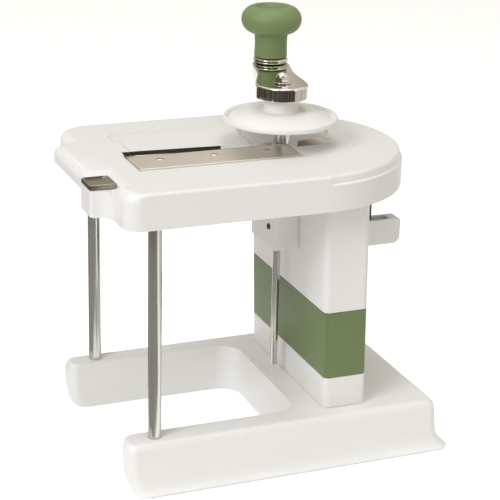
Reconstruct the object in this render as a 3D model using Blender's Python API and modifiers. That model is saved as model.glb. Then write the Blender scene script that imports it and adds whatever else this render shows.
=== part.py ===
# Hand cranked cabbage shredder: a rotary slicer on two posts and a column.
# Metres, +Z up. The crank turns about a vertical axis; -Y is the front, where the user stands.
# The origin is on the floor, at the middle of the whole width and depth.

import math

import bmesh
import bpy
from mathutils import Matrix, Vector

MM = 0.001

# Driving dimensions: reach from the crank axis, and overall heights
LEFT_REACH = 175 * MM
RIGHT_REACH = 117 * MM
BASE_DEPTH = 205 * MM
BASE_TOP_Z = 41 * MM
TABLE_TOP_Z = 243 * MM
CRANK_X = (LEFT_REACH - RIGHT_REACH) / 2

# Fits
GAP = 0.3 * MM
RUN_GAP = 0.15 * MM
PLATE_GAP = 0.5 * MM
SCREW_GAP = 0.2 * MM
OVERLAP = 0.5 * MM

# Base
FOOT_HEIGHT = 3.7 * MM
FOOT_PROUD = 1.0 * MM
FOOT_RADIUS = 7 * MM
FOOT_INSET_Y = 20 * MM
FOOT_INSET_LEFT = 60 * MM
FOOT_INSET_RIGHT = 21 * MM
BASE_INSET_LEFT = 18 * MM
BAR_WIDTH = 32 * MM
YOKE_LEFT = 8 * MM
BASE_WALL = 3 * MM
FLARE_WIDTH = 8.5 * MM
FLARE_HEIGHT = 18 * MM
SHOULDER_RADIUS = 8 * MM
LEFT_UNDERCUT = 5 * MM
BASE_CORNER = 11 * MM
YOKE_CORNER = 18 * MM

# Posts
POST_RADIUS = 5.25 * MM
POST_INSET_X = 43 * MM
POST_INSET_Y = 22.5 * MM
SOCKET_WALL = 3.2 * MM
SOCKET_DEPTH = 21 * MM
SOCKET_FLOOR = 4 * MM
POST_SCREW_RADIUS = 2.3 * MM
POST_SCREW_HEAD = 4.5 * MM
POST_SCREW_GRIP = 9 * MM
HEAD_HEIGHT = 3.5 * MM

# Column
COLUMN_LEFT_TOP = 6.4 * MM
COLUMN_LEFT_FOOT = 12.5 * MM
COLUMN_RIGHT_TOP = 45.3 * MM
COLUMN_RIGHT_FOOT = 48.9 * MM
COLUMN_INSET_Y = 25.1 * MM
COLUMN_CORNER = 4.5 * MM
BAND_BOTTOM_Z = 67.2 * MM
BAND_TOP_Z = 123.1 * MM
BOLT_X = 27 * MM
BOLT_Y = 50 * MM
BOLT_RADIUS = 3 * MM
BOLT_HEAD_RADIUS = 5.5 * MM
BOLT_HEAD_HEIGHT = 4.5 * MM
BOLT_BOSS_RADIUS = 8 * MM
DECK_BOSS_RADIUS = 6 * MM
DECK_BOSS_HEIGHT = 12 * MM

# Table shell
SKIRT_DEPTH = 28 * MM
TABLE_INSET_Y = 4.5 * MM
TABLE_INSET_LEFT = 15.5 * MM
TABLE_WALL = 3 * MM
DECK_THICKNESS = 4 * MM
EDGE_RADIUS = 2.4 * MM
CORNER_REAR = 20 * MM
CORNER_FRONT = 12 * MM
SHOULDER_DROP = 6.7 * MM
SHOULDER_INSET = 1.8 * MM
BEAD = 0.5 * MM
END_ROUND = 8 * MM
END_ROUND_HEIGHT = 8 * MM
LIP_INSET_LEFT = 1 * MM
LIP_HALF = 57 * MM
LIP_HEIGHT = 13.5 * MM
LIP_CORNER_REAR = 12 * MM
LIP_CORNER_FRONT = 4 * MM
LIP_LAP = 12 * MM
BLOCK_INSET_LEFT = 2.3 * MM
BLOCK_BACK = 28 * MM
BLOCK_FRONT = 56 * MM
RIB = 2 * MM
RIB_DEPTH = 11 * MM

# Blade and its seat
SEAT_INSET_LEFT = 43.5 * MM
SEAT_RIGHT = 4.5 * MM
SEAT_FRONT = 42 * MM
SEAT_DEPTH = 2.3 * MM
SEAT_BACK = 1.5 * MM
BLADE_END_GAP = 2.5 * MM
BLADE_RIGHT = 3.2 * MM
BLADE_FRONT = 36 * MM
BLADE_EDGE = 3 * MM
BLADE_THICKNESS = 1.6 * MM
BLADE_BEVEL = 5.5 * MM
BLADE_SCREW_Y = 13.5 * MM
BLADE_SCREW_FIRST = 17 * MM
BLADE_SCREW_LAST = 23 * MM
BLADE_SCREW_COUNT = 3
BLADE_SCREW_HEAD = 2.9 * MM
BLADE_SCREW_RADIUS = 1.3 * MM
BLADE_SCREW_LENGTH = 9 * MM
BLADE_BOSS_RADIUS = 3.6 * MM

# Slot and thickness plate
SLOT_END_GAP = 2 * MM
SLOT_RIGHT = 8.5 * MM
SLOT_WIDE_Y = 12 * MM
SLOT_NARROW_Y = 4.2 * MM
PLATE_INSET_LEFT = 52.6 * MM
PLATE_RIGHT = 21.6 * MM
PLATE_BACK = 61.6 * MM
PLATE_THICKNESS = 3.7 * MM
EAR_LENGTH = 3.8 * MM
EAR_FRONT = 43.2 * MM
EAR_BACK = 59.9 * MM
PIVOT_Y = 51.5 * MM
PIVOT_DROP = 7.2 * MM
PIN_RADIUS = 2 * MM
KNUCKLE_RADIUS = 3.8 * MM
KNUCKLE_LENGTH = 17 * MM
PIN_BOSS_LENGTH = 4.3 * MM
PLATE_RIB_FRONT = 20 * MM
PLATE_RIB_BACK = 44 * MM
PLATE_RIB_DEPTH = 2.8 * MM
PLATE_RIB_COUNT = 4

# Thickness slider: steel finger cup, bar with ramp, and the lug it lifts
SLIDE_TRAVEL = 6 * MM
PLATE_TILT_DEG = 3.8
TAB_WIDTH = 21 * MM
TAB_BACK = 34 * MM
TAB_FRONT = 56.5 * MM
TAB_HEIGHT = 4 * MM
TAB_FLOOR_DROP = 7 * MM
TAB_WALL = 1.4 * MM
TAB_BOTTOM = 1.5 * MM
TAB_ROUND = 1.6 * MM
PAD_THICKNESS = 3.5 * MM
STEM_INSET = 5 * MM
STEM_Y = 45.5 * MM
STEM_RADIUS = 1.5 * MM
STEM_HEAD = 2.8 * MM
BAR_THICKNESS = 4.5 * MM
BAR_WIDTH_X = 12 * MM
BAR_INSET_LEFT = 29 * MM
BAR_FRONT = 50 * MM
BAR_BACK = 24 * MM
ARM_WIDTH = 9 * MM
ARM_REACH = 3.2 * MM
RAMP_FRONT = 13 * MM
LUG_FRONT = 14.5 * MM
LUG_BACK = 22 * MM
LUG_REACH = 8.5 * MM
LUG_WIDTH = 3 * MM
LUG_THICKNESS = 3 * MM
HANGER_WIDTH = 4 * MM
HANGER_WALL = 2.2 * MM
HANGER_FIRST_Y = -26 * MM
HANGER_SECOND_Y = 4 * MM

# Feed ramp right of the spindle
RAMP_POCKET_LEFT = 9 * MM
RAMP_POCKET_RIGHT = 38 * MM
RAMP_POCKET_FRONT = 14 * MM
RAMP_POCKET_BACK = 34 * MM
RAMP_POCKET_DEPTH = 2.6 * MM

# Spindle, its housing and bushes
ROD_RADIUS = 3 * MM
ROD_FOOT_GAP = 9 * MM
FEED_TRAVEL = 95 * MM
SLEEVE_RADIUS = 4.5 * MM
BUSH_RADIUS = 4.2 * MM
BUSH_FLANGE_RADIUS = 7 * MM
BUSH_FLANGE = 1.4 * MM
UPPER_BUSH_LENGTH = 12 * MM
LOWER_FLANGE_RADIUS = 5.8 * MM
HOUSING_LEFT = 13 * MM
HOUSING_HALF_DEPTH = 25 * MM
HOUSING_DROP = 82.7 * MM
HOUSING_WALL = 2.2 * MM
HOUSING_FLOOR = 4 * MM

# Spiked disc
DISC_RADIUS = 46 * MM
RIM_LIFT = 21.4 * MM
HUB_RADIUS = 13.7 * MM
DOME_RISE = 6.5 * MM
DISC_WALL = 2.6 * MM
RIM_LIP = 1.8 * MM
TINE_COUNT = 5
TINE_ANGLE_DEG = -32.6
TINE_PITCH_RADIUS = 36.5 * MM
TINE_WIDTH = 6.5 * MM
TINE_THICKNESS = 3.6 * MM
TINE_TIP_LIFT = 9.5 * MM

# Crank arm and knob
ARM_LIFT = 38 * MM
ARM_THICKNESS = 11 * MM
ARM_BIG_RADIUS = 21 * MM
ARM_SMALL_RADIUS = 15 * MM
ARM_WAIST = 2.5 * MM
ARM_EDGE = 1.4 * MM
CRANK_RADIUS = 73.5 * MM
CRANK_ANGLE_DEG = 74.7
WASHER_RADIUS = 7 * MM
WASHER_THICKNESS = 1.2 * MM
NUT_FLATS = 10 * MM
NUT_HEX_HEIGHT = 3.6 * MM
NUT_DOME_RADIUS = 4.6 * MM
COLLAR_RADIUS = 14.3 * MM
COLLAR_HEIGHT = 6.5 * MM
COLLAR_BORE = 6 * MM
GRIP_NECK_RADIUS = 13.6 * MM
GRIP_NECK_HEIGHT = 18 * MM
GRIP_HEAD_RADIUS = 25 * MM
GRIP_HEAD_HEIGHT = 22.5 * MM
DIMPLE_RADIUS = 13 * MM
DIMPLE_DEPTH = 1.6 * MM
KNOB_PIN_RADIUS = 3 * MM
PIN_HEAD_RADIUS = 5 * MM
PIN_HEAD_HEIGHT = 2.5 * MM
PLUG_RADIUS = 9 * MM
PLUG_THICKNESS = 2.5 * MM

# Side bracket and its stay rod
BRACKET_RIGHT = 91.5 * MM
BRACKET_FRONT = 40 * MM
BRACKET_DEPTH = 14 * MM
BRACKET_DROP = 60 * MM
BRACKET_HEIGHT = 21.2 * MM
BRACKET_CORNER = 6 * MM
POCKET_LEFT = 57.5 * MM
POCKET_RIGHT = 82 * MM
POCKET_WALL = 2.4 * MM
POCKET_DEPTH = 15 * MM
STAY_X = 66.2 * MM
STAY_RADIUS = 1.75 * MM
STAY_SOCKET_RADIUS = 5 * MM
BRACKET_SCREW_RADIUS = 2 * MM
BRACKET_SCREW_HEAD = 3.2 * MM
BRACKET_SCREW_GRIP = 12 * MM

# Facets of round pieces
ROUND = 28
SMALL_ROUND = 12
DISC_STEPS = 36
TABLE_ARC_STEPS = 18
CORNER_STEPS = 5

# Sizes that follow from the ones above
HALF_DEPTH = BASE_DEPTH / 2
BASE_LEFT = LEFT_REACH - BASE_INSET_LEFT
FOOT_LEFT_X = LEFT_REACH - FOOT_INSET_LEFT
FOOT_RIGHT_X = RIGHT_REACH - FOOT_INSET_RIGHT
POST_X = LEFT_REACH - POST_INSET_X
POST_Y = HALF_DEPTH - POST_INSET_Y
COLUMN_HALF_DEPTH = HALF_DEPTH - COLUMN_INSET_Y
TABLE_RADIUS = HALF_DEPTH - TABLE_INSET_Y
TABLE_LEFT = LEFT_REACH - TABLE_INSET_LEFT
TABLE_BOTTOM_Z = TABLE_TOP_Z - SKIRT_DEPTH
LIP_LEFT = LEFT_REACH - LIP_INSET_LEFT
LIP_BOTTOM_Z = TABLE_TOP_Z - LIP_HEIGHT
BLOCK_LEFT = LEFT_REACH - BLOCK_INSET_LEFT
SEAT_LEFT = LEFT_REACH - SEAT_INSET_LEFT
BLADE_LEFT = SEAT_LEFT - BLADE_END_GAP
BLADE_SCREW_PITCH = (BLADE_LEFT - BLADE_SCREW_FIRST - BLADE_SCREW_LAST) / (BLADE_SCREW_COUNT - 1)
SLOT_LEFT = SEAT_LEFT - SLOT_END_GAP
PLATE_LEFT = LEFT_REACH - PLATE_INSET_LEFT
BAR_FIRST_X = LEFT_REACH - BAR_INSET_LEFT
UNDER_DECK_Z = TABLE_TOP_Z - DECK_THICKNESS
COLUMN_TOP_Z = UNDER_DECK_Z - GAP
BLADE_TOP_Z = TABLE_TOP_Z - SEAT_DEPTH + GAP + BLADE_THICKNESS
PIVOT_Z = TABLE_TOP_Z - PIVOT_DROP
PLATE_UNDER_Z = TABLE_TOP_Z - PLATE_THICKNESS
LUG_TOP_Z = UNDER_DECK_Z - GAP
LUG_BOTTOM_Z = LUG_TOP_Z - LUG_THICKNESS
TAB_SEAT_Z = TABLE_TOP_Z - TAB_FLOOR_DROP
PAD_BOTTOM_Z = TAB_SEAT_Z - PAD_THICKNESS
BAR_TOP_Z = PAD_BOTTOM_Z - GAP
BAR_BOTTOM_Z = BAR_TOP_Z - BAR_THICKNESS
TAB_X = CRANK_X - LEFT_REACH
STEM_X = TAB_X + TAB_WIDTH - STEM_INSET
BAR_X = CRANK_X - BAR_FIRST_X
LUG_X = CRANK_X - PLATE_LEFT - LUG_REACH
BUSH_TOP_Z = TABLE_TOP_Z
SLEEVE_BOTTOM_Z = BUSH_TOP_Z + GAP
ROD_BOTTOM_Z = BASE_TOP_Z + ROD_FOOT_GAP
HOUSING_BOTTOM_Z = TABLE_TOP_Z - HOUSING_DROP
BRACKET_TOP_Z = TABLE_TOP_Z - BRACKET_DROP
RIM_Z = TABLE_TOP_Z + RIM_LIFT
TINE_TIP_Z = TABLE_TOP_Z + TINE_TIP_LIFT
ARM_BOTTOM_Z = TABLE_TOP_Z + ARM_LIFT
DOME_Z = RIM_Z + DOME_RISE
DISC_SEAT_Z = RIM_Z + 1.8 * MM
ARM_TOP_Z = ARM_BOTTOM_Z + ARM_THICKNESS
WASHER_TOP_Z = ARM_TOP_Z + GAP + WASHER_THICKNESS
NUT_BOTTOM_Z = WASHER_TOP_Z + GAP
COLLAR_BOTTOM_Z = ARM_TOP_Z + GAP
GRIP_BOTTOM_Z = COLLAR_BOTTOM_Z + COLLAR_HEIGHT + GAP
GRIP_TOP_Z = GRIP_BOTTOM_Z + GRIP_NECK_HEIGHT + GRIP_HEAD_HEIGHT
KNOB_X = CRANK_X + CRANK_RADIUS * math.cos(math.radians(CRANK_ANGLE_DEG))
KNOB_Y = CRANK_RADIUS * math.sin(math.radians(CRANK_ANGLE_DEG))

# Collections: the model, and the shapes that cut or join it
model = None
cutters = None


def clear_scene():
    for item in list(bpy.data.objects):
        bpy.data.objects.remove(item, do_unlink=True)


def new_collection(name):
    collection = bpy.data.collections.new(name)
    bpy.context.scene.collection.children.link(collection)
    return collection


def plastic(name, colour, roughness=0.4):
    return surface(name, colour, roughness, 0.0)


def steel(name, colour, roughness=0.25):
    return surface(name, colour, roughness, 1.0)


def surface(name, colour, roughness, metallic):
    material = bpy.data.materials.new(name)
    material.use_nodes = True
    shader = material.node_tree.nodes["Principled BSDF"]
    shader.inputs["Base Color"].default_value = (*colour, 1.0)
    shader.inputs["Roughness"].default_value = roughness
    shader.inputs["Metallic"].default_value = metallic
    return material


def add_object(name, mesh_source, material, origin=(0.0, 0.0, 0.0), smooth_deg=30):
    """Make a model object from a bmesh given in world space, with its origin at the given point."""
    bmesh.ops.translate(mesh_source, verts=mesh_source.verts, vec=-Vector(origin))
    mesh = bpy.data.meshes.new(name)
    mesh_source.to_mesh(mesh)
    mesh_source.free()
    mesh.shade_smooth()
    mesh.set_sharp_from_angle(angle=math.radians(smooth_deg))
    mesh.materials.append(material)
    item = bpy.data.objects.new(name, mesh)
    item.location = origin
    model.objects.link(item)
    return item


def add_helper(name, mesh_source):
    """Make a cutter or a joined shape: it isn't part of the model by itself."""
    mesh = bpy.data.meshes.new(name)
    mesh_source.to_mesh(mesh)
    mesh_source.free()
    item = bpy.data.objects.new(name, mesh)
    item.display_type = 'WIRE'
    item.hide_render = True
    cutters.objects.link(item)
    return item


def boolean(target, operation, mesh_source, label):
    helper = add_helper(target.name + "_" + label, mesh_source)
    modifier = target.modifiers.new(label, 'BOOLEAN')
    modifier.operation = operation
    modifier.solver = 'EXACT'
    modifier.object = helper
    return modifier


def cut(target, mesh_source, label):
    return boolean(target, 'DIFFERENCE', mesh_source, label)


def join(target, mesh_source, label):
    return boolean(target, 'UNION', mesh_source, label)


def box(x0, x1, y0, y1, z0, z1):
    shape = bmesh.new()
    bmesh.ops.create_cube(shape, size=1.0)
    size = Vector((x1 - x0, y1 - y0, z1 - z0))
    bmesh.ops.scale(shape, verts=shape.verts, vec=size)
    middle = Vector(((x0 + x1) / 2, (y0 + y1) / 2, (z0 + z1) / 2))
    bmesh.ops.translate(shape, verts=shape.verts, vec=middle)
    return shape


def add_cylinder(shape, x, y, z0, z1, radius, top_radius=None, steps=SMALL_ROUND, turn=0.0):
    """Add an upright cylinder or cone to a bmesh."""
    place = Matrix.Translation((x, y, (z0 + z1) / 2)) @ Matrix.Rotation(turn, 4, 'Z')
    bmesh.ops.create_cone(
        shape, cap_ends=True, segments=steps, radius1=radius,
        radius2=radius if top_radius is None else top_radius, depth=z1 - z0, matrix=place)
    return shape


def cylinder(x, y, z0, z1, radius, top_radius=None, steps=SMALL_ROUND, turn=0.0):
    return add_cylinder(bmesh.new(), x, y, z0, z1, radius, top_radius, steps, turn)


def lying_cylinder(x0, x1, y, z, radius, steps=SMALL_ROUND):
    shape = bmesh.new()
    place = Matrix.Translation(((x0 + x1) / 2, y, z)) @ Matrix.Rotation(math.pi / 2, 4, 'Y')
    bmesh.ops.create_cone(shape, cap_ends=True, segments=steps, radius1=radius, radius2=radius,
                          depth=x1 - x0, matrix=place)
    return shape


def rounded_outline(corners, steps=CORNER_STEPS):
    """Points of a polygon, counter-clockwise, whose corners (x, y, radius, steps) are arcs."""
    points = []
    count = len(corners)
    for index, corner in enumerate(corners):
        here = Vector(corner[:2])
        radius = corner[2]
        number = corner[3] if len(corner) > 3 else steps
        before = (Vector(corners[index - 1][:2]) - here).normalized()
        after = (Vector(corners[(index + 1) % count][:2]) - here).normalized()
        angle = before.angle(after)
        reach = radius / math.tan(angle / 2)
        centre = here + (before + after).normalized() * radius / math.sin(angle / 2)
        start = here + before * reach - centre
        sweep = math.pi - angle
        if before.cross(after) > 0:
            sweep = -sweep
        for step in range(number + 1):
            turn = sweep * step / number
            spot = centre + Matrix.Rotation(turn, 2) @ start
            points.append((spot.x, spot.y))
    return points


def prism(outline, z0, z1):
    """An upright block over a plan outline."""
    return loft([[(x, y, z0) for x, y in outline], [(x, y, z1) for x, y in outline]])


def loft(rings):
    """A closed body through rings of equal point count, from the lowest ring up."""
    shape = bmesh.new()
    loops = [[shape.verts.new(point) for point in ring] for ring in rings]
    count = len(loops[0])
    for lower, upper in zip(loops, loops[1:]):
        for index in range(count):
            following = (index + 1) % count
            shape.faces.new((lower[index], lower[following], upper[following], upper[index]))
    ends = [shape.faces.new(tuple(reversed(loops[0]))), shape.faces.new(tuple(loops[-1]))]
    shape.normal_update()
    bmesh.ops.triangulate(shape, faces=ends)
    return shape


def side_prism(profile, x0, x1):
    """A block along X over a profile of (y, z) points, counter-clockwise seen from +X."""
    return loft([[(x0, y, z) for y, z in profile], [(x1, y, z) for y, z in profile]])


def turned(name, profile, material, x, y, steps=ROUND):
    """A turned piece: (radius, z) from the top down its outer side, closed up its bore or axis."""
    shape = bmesh.new()
    verts = [shape.verts.new((radius, 0.0, z)) for radius, z in profile]
    closed = profile[0][0] > 0
    for first, second in zip(verts, verts[1:]):
        shape.edges.new((first, second))
    if closed:
        shape.edges.new((verts[-1], verts[0]))
    mesh = bpy.data.meshes.new(name)
    shape.to_mesh(mesh)
    shape.free()
    mesh.materials.append(material)
    item = bpy.data.objects.new(name, mesh)
    item.location = (x, y, 0.0)
    model.objects.link(item)
    screw = item.modifiers.new("turn", 'SCREW')
    screw.axis = 'Z'
    screw.steps = steps
    screw.render_steps = steps
    screw.use_merge_vertices = True
    screw.merge_threshold = 0.00001
    return item


def arc_profile(centre, radius, start_deg, end_deg, steps):
    """Points of (radius, z) along an arc about a centre given the same way."""
    points = []
    for step in range(steps + 1):
        turn = math.radians(start_deg + (end_deg - start_deg) * step / steps)
        points.append((centre[0] + radius * math.cos(turn), centre[1] + radius * math.sin(turn)))
    return points


# Base

def base_ring(z, side_inset, left_inset, inner_inset=0.0):
    """Plan of the base at one height: two bars joined at the right, in a U."""
    left = CRANK_X - BASE_LEFT + left_inset
    right = CRANK_X + RIGHT_REACH - side_inset
    side = HALF_DEPTH - side_inset
    inner = HALF_DEPTH - BAR_WIDTH + inner_inset
    yoke = CRANK_X - YOKE_LEFT + inner_inset
    outer_round = max(BASE_CORNER - side_inset / 3, 2 * MM)
    yoke_round = YOKE_CORNER + inner_inset
    corners = [
        (left, -side, outer_round), (right, -side, outer_round),
        (right, side, outer_round), (left, side, outer_round),
        (left, inner, outer_round), (yoke, inner, yoke_round),
        (yoke, -inner, yoke_round), (left, -inner, outer_round)]
    return [(x, y, z) for x, y in rounded_outline(corners)]


def base_levels():
    """Heights with the inset of the long sides and of the bars' left ends."""
    levels = [(FOOT_PROUD, 0.0, LEFT_UNDERCUT)]
    flare_steps = 4
    for step in range(1, flare_steps + 1):
        share = step / flare_steps
        rise = FLARE_HEIGHT * (1 - math.cos(share * math.pi / 2)) * 0.8 + FLARE_HEIGHT * 0.2 * share
        inset = FLARE_WIDTH * math.sin(share * math.pi / 2)
        levels.append((FOOT_PROUD + rise, inset, LEFT_UNDERCUT * (1 - share)))
    wall_top = BASE_TOP_Z - SHOULDER_RADIUS
    wall_inset = FLARE_WIDTH + 1 * MM
    levels.append((wall_top, wall_inset, 0.0))
    shoulder_steps = 4
    for step in range(1, shoulder_steps + 1):
        turn = math.pi / 2 * step / shoulder_steps
        levels.append((wall_top + SHOULDER_RADIUS * math.sin(turn),
                       wall_inset + SHOULDER_RADIUS * (1 - math.cos(turn)) * 0.8,
                       SHOULDER_RADIUS * (1 - math.cos(turn)) * 0.5))
    return levels


def make_base(material):
    levels = base_levels()
    item = add_object("base", loft([base_ring(*level) for level in levels]), material)
    plate_under = BASE_TOP_Z - BASE_WALL
    hollow = [base_ring(z, side + BASE_WALL, left + BASE_WALL, BASE_WALL)
              for z, side, left in levels if z < plate_under - SHOULDER_RADIUS / 2]
    below = [(x, y, -2 * MM) for x, y, z in hollow[0]]
    above = [(x, y, plate_under) for x, y, z in base_ring(
        plate_under, levels[-1][1], levels[-1][2] + BASE_WALL, BASE_WALL)]
    cut(item, loft([below] + hollow + [above]), "hollow")
    bosses = bmesh.new()
    for side in (-1, 1):
        add_cylinder(bosses, CRANK_X - POST_X, side * POST_Y, socket_bottom(), plate_under + OVERLAP,
                     POST_RADIUS + RUN_GAP + SOCKET_WALL)
        add_cylinder(bosses, CRANK_X + BOLT_X, side * BOLT_Y, bolt_seat_z(), plate_under + OVERLAP,
                     BOLT_BOSS_RADIUS)
        for x in (CRANK_X - FOOT_LEFT_X, CRANK_X + FOOT_RIGHT_X):
            add_cylinder(bosses, x, side * (HALF_DEPTH - FOOT_INSET_Y), FOOT_HEIGHT + GAP,
                         plate_under + OVERLAP, FOOT_RADIUS)
    join(item, bosses, "bosses")
    holes = bmesh.new()
    for side in (-1, 1):
        add_cylinder(holes, CRANK_X - POST_X, side * POST_Y, BASE_TOP_Z - SOCKET_DEPTH,
                     BASE_TOP_Z + OVERLAP, POST_RADIUS + RUN_GAP, steps=ROUND)
        add_cylinder(holes, CRANK_X + BOLT_X, side * BOLT_Y, 0, BASE_TOP_Z + OVERLAP,
                     BOLT_RADIUS + SCREW_GAP)
    cut(item, holes, "holes")
    screw_holes = bmesh.new()
    for side in (-1, 1):
        add_cylinder(screw_holes, CRANK_X - POST_X, side * POST_Y, 0,
                     BASE_TOP_Z - SOCKET_DEPTH + OVERLAP, POST_SCREW_RADIUS + SCREW_GAP)
    cut(item, screw_holes, "screw_holes")
    return item


def socket_bottom():
    return BASE_TOP_Z - SOCKET_DEPTH - SOCKET_FLOOR


def bolt_seat_z():
    return FOOT_PROUD + BOLT_HEAD_HEIGHT + 4 * MM


def make_rubber_feet(material):
    """Four turned feet, a little wider where they sit in the base."""
    profile = [(0, FOOT_HEIGHT), (FOOT_RADIUS, FOOT_HEIGHT), (FOOT_RADIUS - 1 * MM, 0), (0, 0)]
    places = {"front_left": (-FOOT_LEFT_X, -1), "rear_left": (-FOOT_LEFT_X, 1),
              "front_right": (FOOT_RIGHT_X, -1), "rear_right": (FOOT_RIGHT_X, 1)}
    for name, (x, side) in places.items():
        turned("foot_" + name, profile, material, CRANK_X + x, side * (HALF_DEPTH - FOOT_INSET_Y),
               SMALL_ROUND)


# Posts

def make_post(name, side, material):
    x = CRANK_X - POST_X
    bottom = BASE_TOP_Z - SOCKET_DEPTH + GAP
    top = UNDER_DECK_Z - GAP
    origin = (x, side * POST_Y, bottom)
    item = add_object(name, cylinder(x, side * POST_Y, bottom, top, POST_RADIUS, steps=ROUND), material,
                      origin)
    thread = cylinder(x, side * POST_Y, bottom - OVERLAP, bottom + POST_SCREW_GRIP,
                      POST_SCREW_RADIUS + SCREW_GAP)
    cut(item, thread, "thread")
    return item


def headed_rod(head_bottom, head_top, head_radius, tip, radius):
    """(radius, z) of a screw or bolt that points up."""
    return [(0, tip), (radius * 0.7, tip), (radius, tip - radius * 0.5), (radius, head_top),
            (head_radius, head_top), (head_radius, head_bottom + 0.5 * MM),
            (head_radius - 0.5 * MM, head_bottom), (0, head_bottom)]


def make_post_screws(material):
    seat = socket_bottom() - GAP
    tip = BASE_TOP_Z - SOCKET_DEPTH + POST_SCREW_GRIP - 1 * MM
    profile = headed_rod(seat - HEAD_HEIGHT, seat, POST_SCREW_HEAD, tip, POST_SCREW_RADIUS)
    for name, side in (("front", -1), ("rear", 1)):
        turned("post_screw_" + name, profile, material, CRANK_X - POST_X, side * POST_Y, SMALL_ROUND)


# Column

def column_ring(z):
    """The column narrows a little towards its foot, mostly from its left side."""
    share = (z - BASE_TOP_Z) / (UNDER_DECK_Z - BASE_TOP_Z)
    left = CRANK_X + COLUMN_LEFT_FOOT + (COLUMN_LEFT_TOP - COLUMN_LEFT_FOOT) * share
    right = CRANK_X + COLUMN_RIGHT_FOOT + (COLUMN_RIGHT_TOP - COLUMN_RIGHT_FOOT) * share
    side = COLUMN_HALF_DEPTH
    corners = [(left, -side, COLUMN_CORNER), (right, -side, COLUMN_CORNER),
               (right, side, COLUMN_CORNER), (left, side, COLUMN_CORNER)]
    return [(x, y, z) for x, y in rounded_outline(corners)]


def make_column_piece(name, bottom, top, material):
    item = add_object(name, loft([column_ring(bottom), column_ring(top)]), material)
    holes = bmesh.new()
    for side in (-1, 1):
        add_cylinder(holes, CRANK_X + BOLT_X, side * BOLT_Y, bottom - OVERLAP, top + OVERLAP,
                     BOLT_RADIUS + SCREW_GAP)
    cut(item, holes, "bolt_holes")
    return item


def make_column_upper(material):
    item = make_column_piece("column_upper", BAND_TOP_Z + GAP, COLUMN_TOP_Z, material)
    pockets = bmesh.new()
    for side in (-1, 1):
        add_cylinder(pockets, CRANK_X + BOLT_X, side * BOLT_Y, UNDER_DECK_Z - DECK_BOSS_HEIGHT - GAP,
                     UNDER_DECK_Z + OVERLAP, DECK_BOSS_RADIUS + GAP)
    cut(item, pockets, "boss_pockets")
    thread = lying_cylinder(column_right_at(bracket_screw_z()) - BRACKET_SCREW_GRIP,
                            column_right_at(bracket_screw_z()) + OVERLAP, bracket_middle_y(),
                            bracket_screw_z(), BRACKET_SCREW_RADIUS + SCREW_GAP)
    cut(item, thread, "bracket_thread")
    return item


def column_left_at(z):
    share = (z - BASE_TOP_Z) / (UNDER_DECK_Z - BASE_TOP_Z)
    return CRANK_X + COLUMN_LEFT_FOOT + (COLUMN_LEFT_TOP - COLUMN_LEFT_FOOT) * share


def column_right_at(z):
    share = (z - BASE_TOP_Z) / (UNDER_DECK_Z - BASE_TOP_Z)
    return CRANK_X + COLUMN_RIGHT_FOOT + (COLUMN_RIGHT_TOP - COLUMN_RIGHT_FOOT) * share


def make_column_bolts(material):
    seat = bolt_seat_z() - GAP
    profile = headed_rod(seat - BOLT_HEAD_HEIGHT, seat, BOLT_HEAD_RADIUS, UNDER_DECK_Z - 2 * MM, BOLT_RADIUS)
    for name, side in (("front", -1), ("rear", 1)):
        turned("column_bolt_" + name, profile, material, CRANK_X + BOLT_X, side * BOLT_Y, SMALL_ROUND)


# Table

def table_ring(z, edge_inset=0.0, arc_inset=0.0, wall=0.0, end_inset=0.0):
    """Plan of the table at one height: a D about the crank axis, straight at the left end."""
    inset = edge_inset + wall
    side = TABLE_RADIUS - inset
    left = CRANK_X - TABLE_LEFT + max(inset, end_inset)
    corners = [
        (CRANK_X + side, -side, side, TABLE_ARC_STEPS), (CRANK_X + side, side, side, TABLE_ARC_STEPS),
        (left, side, CORNER_REAR - wall), (left, -side, CORNER_FRONT - wall / 2)]
    points = []
    for x, y in rounded_outline(corners):
        reach = Vector((x - CRANK_X, y))
        if x > CRANK_X + 1 * MM:
            reach = reach.normalized() * (reach.length - arc_inset)
        points.append((CRANK_X + reach.x, reach.y, z))
    return points


def lip_ring(z, inset=0.0):
    """Plan of the grip lip, which laps into the table's left end."""
    left = CRANK_X - LIP_LEFT + inset
    right = CRANK_X - TABLE_LEFT + LIP_LAP
    side = LIP_HALF - inset
    corners = [(left, -side, LIP_CORNER_FRONT), (right, -side, 1 * MM), (right, side, 1 * MM),
               (left, side, LIP_CORNER_REAR)]
    return [(x, y, z) for x, y in rounded_outline(corners)]


def end_round(depth):
    """Inset of the rounded left end at a depth below the top."""
    share = min(depth / END_ROUND_HEIGHT, 1.0)
    return END_ROUND * (1 - math.sqrt(1 - (1 - share) ** 2))


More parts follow.
